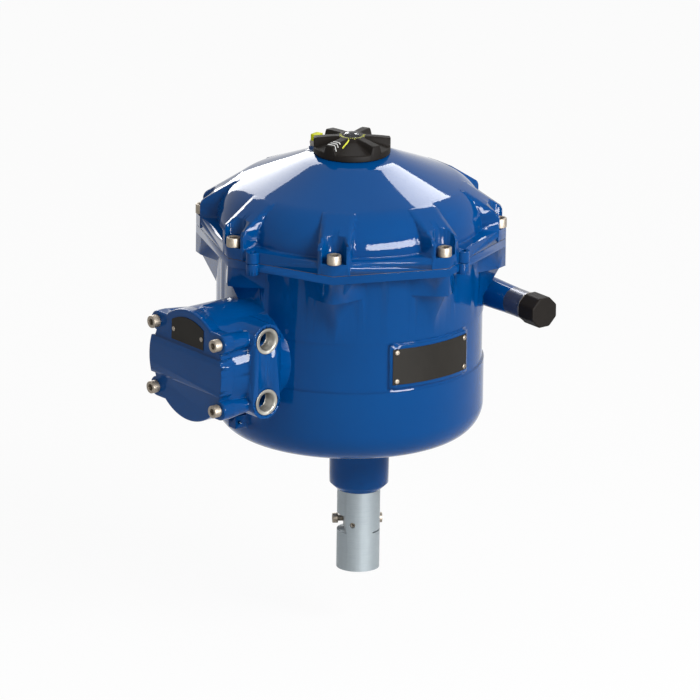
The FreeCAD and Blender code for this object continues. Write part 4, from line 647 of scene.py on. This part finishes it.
# Flange screws
FLANGE_SCREW_REACH = 187.8 * mm
FLANGE_SCREW_Z = 271.5 * mm
flange_screw = cap_screw_mesh("flange_screw", shank=6.0 * mm, length=44 * mm, head=9.0 * mm,
                              rise=12.0 * mm, socket=5.0 * mm)
flange_screws = repeat("flange_cap_screws", flange_screw, screw_finish, 8,
                       (DRUM_X + FLANGE_SCREW_REACH, 0, FLANGE_SCREW_Z),
                       centre=(DRUM_X, 0, 0), turn=math.pi / 4)
seat(flange_screws, "housing", "screw_steel", "flange_screws")

# Screws and rivets of the terminal compartment's cover
TILT_TO_MINUS_X = (0, -math.pi / 2, 0)
LID_SCREW_Y = 62.5 * mm
LID_SCREW_RISE = 43 * mm
lid_screw = cap_screw_mesh("lid_screw", shank=5.0 * mm, length=34 * mm, head=8.0 * mm,
                           rise=10.0 * mm, socket=4.0 * mm)
lid_screws = repeat("lid_cap_screws", lid_screw, screw_finish, 4,
                    (LID_FACE_X, -LID_SCREW_Y, TERMINAL_Z - LID_SCREW_RISE),
                    step=(0, 2 * LID_SCREW_Y, 0), row=2, row_step=(0, 0, 2 * LID_SCREW_RISE),
                    tilt=TILT_TO_MINUS_X)
seat(lid_screws, "housing", "screw_steel", "terminal_cover_screws")

LABEL_THICKNESS = 0.8 * mm
RIVET_Y = 28 * mm
RIVET_RISE = 41.5 * mm
rivet = lathe_mesh("rivet", [
    (-4 * mm, 1.8 * mm),
    (0, 1.8 * mm),
    (0, 3.0 * mm),
    (0.3 * mm, 3.0 * mm),
    (0.62 * mm, 2.5 * mm),
    (0.82 * mm, 1.6 * mm),
    (0.9 * mm, 0.5 * mm),
], 32)
rivets = repeat("label_round_rivets", rivet, screw_finish, 2,
                (LID_FACE_X - LABEL_THICKNESS, -RIVET_Y, TERMINAL_Z + RIVET_RISE),
                step=(0, 2 * RIVET_Y, 0), tilt=TILT_TO_MINUS_X)
seat(rivets, "housing", "screw_steel", "label_rivets")

# Screws of the rating plate
PLATE_SCREW_REACH = 171.9 * mm
PLATE_SCREW_START = math.radians(-108.2)
PLATE_SCREW_TURN = math.radians(36.4)
PLATE_SCREW_RISE = 18.8 * mm
PLATE_SOCKET = hexagon(1.1 * mm)
plate_screw = lathe_mesh("plate_screw", [
    (-8 * mm, 1.3 * mm),
    (0, 1.6 * mm),
    (0, 3.2 * mm),
    (0.6 * mm, 3.2 * mm),
    (1.1 * mm, 2.8 * mm),
    (1.45 * mm, 2.1 * mm),
    (1.6 * mm, 1.5 * mm),
    (1.5 * mm, PLATE_SOCKET),
    (0.5 * mm, PLATE_SOCKET),
    (0.4 * mm, 0.1 * mm),
], 36)
plate_start = (DRUM_X + PLATE_SCREW_REACH * math.cos(PLATE_SCREW_START),
               PLATE_SCREW_REACH * math.sin(PLATE_SCREW_START),
               PLATE_Z - PLATE_SCREW_RISE)
plate_screws = repeat("plate_button_screws", plate_screw, screw_finish, 4, plate_start,
                      row=2, row_step=(0, 0, 2 * PLATE_SCREW_RISE), centre=(DRUM_X, 0, 0),
                      turn=PLATE_SCREW_TURN, tilt=(0, math.pi / 2, PLATE_SCREW_START))
seat(plate_screws, "housing", "screw_steel", "rating_plate_screws")

# Output clamp
CLAMP_ANGLE = math.radians(56)
PINCH_AWAY = 18.5 * mm
PINCH_SIDE = 24.5 * mm
PINCH_Z = -132 * mm
PINCH_SOCKET_TURN = 0.4
clamp_away = level_direction(CLAMP_ANGLE)
clamp_side = Vector((-math.sin(CLAMP_ANGLE), math.cos(CLAMP_ANGLE), 0))
pinch_pair = []
for number, side in enumerate((-1, 1)):
    screw = cap_screw_mesh("pinch_screw_%d" % number, shank=4.0 * mm, length=20 * mm, head=6.5 * mm,
                           rise=7.0 * mm, socket=3.0 * mm)
    spot = clamp_away * PINCH_AWAY + clamp_side * side * PINCH_SIDE + Vector((0, 0, PINCH_Z))
    pinch_pair.append(placed(screw, spot, clamp_side * side, PINCH_SOCKET_TURN))
seat(new_piece("clamp_screws", joined("clamp_screws", pinch_pair), screw_finish),
     "output", "screw_steel", "pinch_screws")

SET_SCREW_REACH = 12 * mm
SET_SCREW_Z = -128.5 * mm
SET_SOCKET = hexagon(1.75 * mm)
set_forward = level_direction(math.radians(-145))
set_screw = lathe_mesh("set_screw", [
    (0, 2.2 * mm),
    (0.8 * mm, 3.5 * mm),
    (11.4 * mm, 3.5 * mm),
    (12 * mm, 3.1 * mm),
    (12 * mm, 2.1 * mm),
    (11.9 * mm, SET_SOCKET),
    (8 * mm, SET_SOCKET),
    (7.6 * mm, 0.2 * mm),
], 36)
placed(set_screw, set_forward * SET_SCREW_REACH + Vector((0, 0, SET_SCREW_Z)), set_forward)
seat(new_piece("clamp_set_screw", set_screw, screw_finish), "output", "screw_steel", "set_screw")

# Hand drive: the cap has flats to grip it by, and the sleeve a bright collar under the cap
HAND_AXIS = Vector((120 * mm, 0, 178.8 * mm))
HAND_OUTWARD = Vector((0, -1, 0))
CAP_REACH = 189.0 * mm
COLLAR_REACH = 186 * mm
cap_mesh = lathe_mesh("hand_cap", [
    (17.30 * mm, 1 * mm),
    (17.30 * mm, 17.80 * mm),
    (0, 17.80 * mm),
    (0, octagon(18.6 * mm)),
    (0.5 * mm, octagon(19.2 * mm)),
    (27.4 * mm, octagon(19.2 * mm)),
    (28.6 * mm, octagon(18.7 * mm)),
    (29 * mm, octagon(17.7 * mm)),
], 96)
placed(cap_mesh, HAND_AXIS + HAND_OUTWARD * CAP_REACH, HAND_OUTWARD)
seat(new_piece("hand_cap", cap_mesh, finishes["black_plastic"], 20), "push_cap", "black_plastic", "push_cap")
collar = ring_mesh("sleeve_collar", [
    (0, 17.40 * mm),
    (0, 18.20 * mm),
    (0.3 * mm, 18.50 * mm),
    (2.1 * mm, 18.50 * mm),
    (2.4 * mm, 18.20 * mm),
    (2.4 * mm, 17.40 * mm),
])
placed(collar, HAND_AXIS + HAND_OUTWARD * COLLAR_REACH, HAND_OUTWARD)
seat(new_piece("sleeve_collar", collar, screw_finish), "housing", "screw_steel")

# Cable entries: steel rings with a thread cut in them, and a threaded liner behind
ENTRY_X = -194.5 * mm
ENTRY_Y = -61.4 * mm
ENTRY_RISE = 40 * mm
THREAD_PITCH = 1.5 * mm
THREAD_STEP = 0.25


def thread_reach(height, bore, depth):
    """A screw thread's reach at one height, which rises by one pitch in a turn."""
    def chosen(angle):
        share = (height / THREAD_PITCH - angle / (2 * math.pi)) % 1.0
        return bore + depth * (1 - abs(2 * share - 1))
    return chosen


def thread_section(top, steps, bore, depth):
    """Loops of a thread from its top, in millimetres, downwards."""
    loops = []
    for step in range(steps):
        height = (top - step * THREAD_STEP) * mm
        loops.append((height, thread_reach(height, bore, depth)))
    return loops


entry_section = [
    (0, 11.66 * mm),
    (0, 16.6 * mm),
    (0.2 * mm, 16.8 * mm),
    (17.6 * mm, 16.8 * mm),
    (18 * mm, 16.4 * mm),
    (18 * mm, 13.5 * mm),
]
entry_section += thread_section(17.2, 69, 11.75 * mm, 0.75 * mm)
entry_section += thread_section(-0.2, 45, 11.0 * mm, 0.55 * mm)
entry_section.append((-11.5 * mm, 11.66 * mm))
entry_ring = ring_mesh("entry_ring", entry_section)
entry_rings = repeat("entry_thread_rings", entry_ring, entry_steel, 2,
                     (DRUM_X + ENTRY_X, ENTRY_Y, TERMINAL_Z - ENTRY_RISE),
                     step=(0, 0, 2 * ENTRY_RISE), tilt=(math.pi / 2, 0, 0))
seat(entry_rings, "housing", "turned_steel", "cable_entry_rings")


# Selector knob: a disc whose top is a height over its middle, with six fins that widen outwards
KNOB_RADIUS = 48.4 * mm
KNOB_TOP = 22 * mm
KNOB_TOP_DROP = 3.4 * mm
KNOB_RIM_HEIGHT = 7.9 * mm
KNOB_FLOOR_SLOPE = 0.34
KNOB_FLOOR_TOP = 19.6 * mm
KNOB_HUB_RADIUS = 20 * mm
KNOB_HUB_FALL = 5 * mm
KNOB_SOLE_RADIUS = 14.3 * mm
KNOB_SOLE_HEIGHT = 4 * mm
KNOB_ROW_STEP = 1.2 * mm
KNOB_SEGMENTS = 360
LENS_HOLE_FROM = 12 * mm
LENS_HOLE_RADIUS = 11.4 * mm
LENS_SEAT_RADIUS = 11.3 * mm
LENS_SEAT_HEIGHT = 19 * mm
FIN_ANGLES = [math.radians(turn) for turn in (30, 88, 140, 195, 271, 326)]
FIN_HALF_WIDTH = 4.4 * mm
FIN_WIDENING = 1.8 * mm
FIN_FLANK = 4.4 * mm
FIN_FLANK_INSET = 1.2 * mm


def eased(value):
    """A share from 0 to 1 that starts and ends gently."""
    value = min(max(value, 0.0), 1.0)
    return value * value * (3 - 2 * value)


def knob_height(radius, angle):
    """The height of the knob's top over its foot."""
    floor = min(KNOB_RIM_HEIGHT + (KNOB_RADIUS - radius) * KNOB_FLOOR_SLOPE, KNOB_FLOOR_TOP)
    away = min(abs((angle - fin + math.pi) % (2 * math.pi) - math.pi) for fin in FIN_ANGLES)
    across = radius * math.sin(min(away, math.pi / 2))
    half = FIN_HALF_WIDTH + FIN_WIDENING * radius / KNOB_RADIUS
    top = KNOB_TOP - KNOB_TOP_DROP * (radius / KNOB_RADIUS) ** 2
    share = eased(1 - (across - half + FIN_FLANK_INSET) / FIN_FLANK)
    height = floor + (top - floor) * share
    middle = eased((KNOB_HUB_RADIUS - radius) / KNOB_HUB_FALL)
    return height + (KNOB_TOP - height) * middle


def knob_mesh():
    """The moulding, with a recess for its shaft underneath and a seat for the lens in its top."""
    work = bmesh.new()
    rows = []

    def add_row(radius, height):
        rows.append(add_loop(work, height, radius, KNOB_SEGMENTS))

    def add_rim_row(radius, lower):
        add_row(radius, lambda angle: knob_height(KNOB_RADIUS, angle) - lower)

    def add_top_row(radius):
        add_row(radius, lambda angle: knob_height(radius, angle))

    add_row(KNOB_SOLE_RADIUS, 0.0)
    add_row(KNOB_RADIUS - 0.8 * mm, 0.0)
    add_row(KNOB_RADIUS, 0.8 * mm)
    add_rim_row(KNOB_RADIUS, 1.0 * mm)
    add_rim_row(KNOB_RADIUS - 0.3 * mm, 0.35 * mm)
    reach = KNOB_RADIUS - 1.0 * mm
    while reach > LENS_HOLE_FROM:
        add_top_row(reach)
        reach -= KNOB_ROW_STEP
    add_row(LENS_HOLE_RADIUS, KNOB_TOP)
    add_row(LENS_SEAT_RADIUS, LENS_SEAT_HEIGHT)
    for low, high in zip(rows, rows[1:]):
        skin(work, low, high)
    add_row(KNOB_SOLE_RADIUS, KNOB_SOLE_HEIGHT)
    lens_seat, sole = rows[-2:]
    skin(work, sole, rows[0])
    work.faces.new(sole)
    work.faces.new(lens_seat)
    mesh = written_out(work, "knob_moulding")
    mesh.transform(Matrix.Translation((DRUM_X, 0, KNOB_FOOT_Z)))
    return mesh


seat(new_piece("knob_moulding", knob_mesh(), finishes["black_plastic"], 40), "knob", "black_plastic",
     "selector_knob")

# Print and laid-in marks on the knob
PRINT_SINK = 0.3 * mm
GRIP_ANGLE = 195


def knob_print(name, outline, thickness=0.25 * mm, rows=10, columns=4):
    """A mark that follows the knob's face: outline gives a point for two shares."""
    work = bmesh.new()
    sheets = []
    for lift in (-PRINT_SINK, thickness):
        grid = []
        for i in range(rows + 1):
            line = []
            for j in range(columns + 1):
                x, y = outline(i / rows, j / columns)
                height = knob_height(math.hypot(x, y), math.atan2(y, x)) + lift
                line.append(work.verts.new((DRUM_X + x, y, KNOB_FOOT_Z + height)))
            grid.append(line)
        sheets.append(grid)
    for grid in sheets:
        for i in range(rows):
            for j in range(columns):
                work.faces.new((grid[i][j], grid[i + 1][j], grid[i + 1][j + 1], grid[i][j + 1]))
    low, high = sheets
    rim = [(i, 0) for i in range(rows)] + [(rows, j) for j in range(columns)]
    rim += [(i, columns) for i in range(rows, 0, -1)] + [(0, j) for j in range(columns, 0, -1)]
    for (i, j), (k, m) in zip(rim, rim[1:] + rim[:1]):
        work.faces.new((low[i][j], low[k][m], high[k][m], high[i][j]))
    return written_out(work, name)


def polar_point(radius, turn):
    """A flat point by its radius and its angle in degrees."""
    angle = math.radians(turn)
    return Vector((radius * math.cos(angle), radius * math.sin(angle)))


def polar_bar(start, end, width):
    """A straight bar between two points given as a radius and an angle in degrees."""
    first = polar_point(*start)
    last = polar_point(*end)
    side = (last - first).orthogonal().normalized() * width

    def outline(along, across):
        return first.lerp(last, along) + side * (across - 0.5)
    return outline


stripes = []
for number in range(3):
    radius = (34 + 5.2 * number) * mm
    bar = polar_bar((radius, GRIP_ANGLE - 8), (radius, GRIP_ANGLE + 10), 1.5 * mm)
    stripes.append(knob_print("stripe_%d" % number, bar, rows=14))
seat(new_piece("knob_grip_stripes", joined("knob_grip_stripes", stripes), white_ink),
     "knob", "black_plastic")
index_line = knob_print("knob_index_line", polar_bar((17.5 * mm, 218), (33 * mm, 210), 1.1 * mm))
seat(new_piece("knob_index_line", index_line, yellow_ink), "knob", "yellow_plastic")
TICK_START = 13.2
ticks = []
for number in range(22):
    angle = 132 + 9.2 * number
    length = 2.6 if number % 3 else 3.6
    bar = polar_bar((TICK_START * mm, angle), ((TICK_START + length) * mm, angle), 0.7 * mm)
    ticks.append(knob_print("tick_%d" % number, bar, 0.12 * mm, rows=3, columns=1))
seat(new_piece("knob_scale_ticks", joined("knob_scale_ticks", ticks), yellow_ink),
     "knob", "yellow_plastic")

# Lens, the display under it, and the index flag's screw
DISPLAY_RISE = 18.2 * mm
TAB_SCREW_REACH = 59.5 * mm
TAB_SCREW_Z = 363 * mm
smooth_copy("knob_lens", "lens_dome", 40)
display = lathe_mesh("display_disc", [
    (0, 10.4 * mm),
    (0.5 * mm, 10.4 * mm),
    (0.7 * mm, 10.1 * mm),
    (0.7 * mm, 4 * mm),
], 64)
display.transform(Matrix.Translation((DRUM_X, 0, KNOB_FOOT_Z + DISPLAY_RISE)))
seat(new_piece("lens_display", display, display_dark), "knob", "black_plastic")
tab_screw = cap_screw_mesh("tab_cap_screw", shank=2.5 * mm, length=6 * mm, head=3.2 * mm,
                           rise=3.0 * mm, socket=1.5 * mm)
tab_forward = level_direction(math.radians(107))
placed(tab_screw, Vector((DRUM_X, 0, TAB_SCREW_Z)) + tab_forward * TAB_SCREW_REACH, tab_forward)
seat(new_piece("tab_cap_screw", tab_screw, screw_finish), "housing", "screw_steel", "tab_screw")

# Floor and world: both are white where they are seen, and the floor lets the output tube travel down
FLOOR_BELOW = 78 * mm
FLOOR_HALF_WIDTH = 40
FLOOR_GLOW_SHARE = 0.94
ROOM_LIGHT = 0.36


def add_floor():
    low, _high = cad_box
    work = bmesh.new()
    bmesh.ops.create_grid(work, x_segments=2, y_segments=2, size=FLOOR_HALF_WIDTH)
    mesh = bpy.data.meshes.new("floor")
    work.to_mesh(mesh)
    work.free()
    floor = bpy.data.objects.new("floor", mesh)
    floor.location.z = low.z - FLOOR_BELOW
    bpy.context.scene.collection.objects.link(floor)
    sheet = Finish("floor_white")
    paper = sheet.mix(sheet.noise(3, 2), (0.86, 0.86, 0.86, 1), (0.88, 0.88, 0.88, 1))
    matte = sheet.node("BsdfDiffuse", None, {"Color": paper})
    glow = sheet.node("Emission", None, {"Color": (1, 1, 1, 1), "Strength": 1.0})
    shader = sheet.node("MixShader", None, {0: sheet.seen() * FLOOR_GLOW_SHARE, 1: matte, 2: glow})
    sheet.node("OutputMaterial", None, {"Surface": shader})
    paint_over(floor, sheet.material)


def add_world():
    """A studio: plain light from all round, and white where the camera, a gloss or glass sees it."""
    world = bpy.data.worlds.new("studio")
    bpy.context.scene.world = world
    studio = Finish("studio", world, "Generated")
    light = ROOM_LIGHT + studio.seen() * (1 - ROOM_LIGHT)
    glow = studio.node("Background", None, {"Color": (1, 1, 1, 1), "Strength": light})
    studio.node("OutputWorld", None, {"Surface": glow})


add_floor()
add_world()
bpy.context.scene.view_settings.view_transform = "Standard"
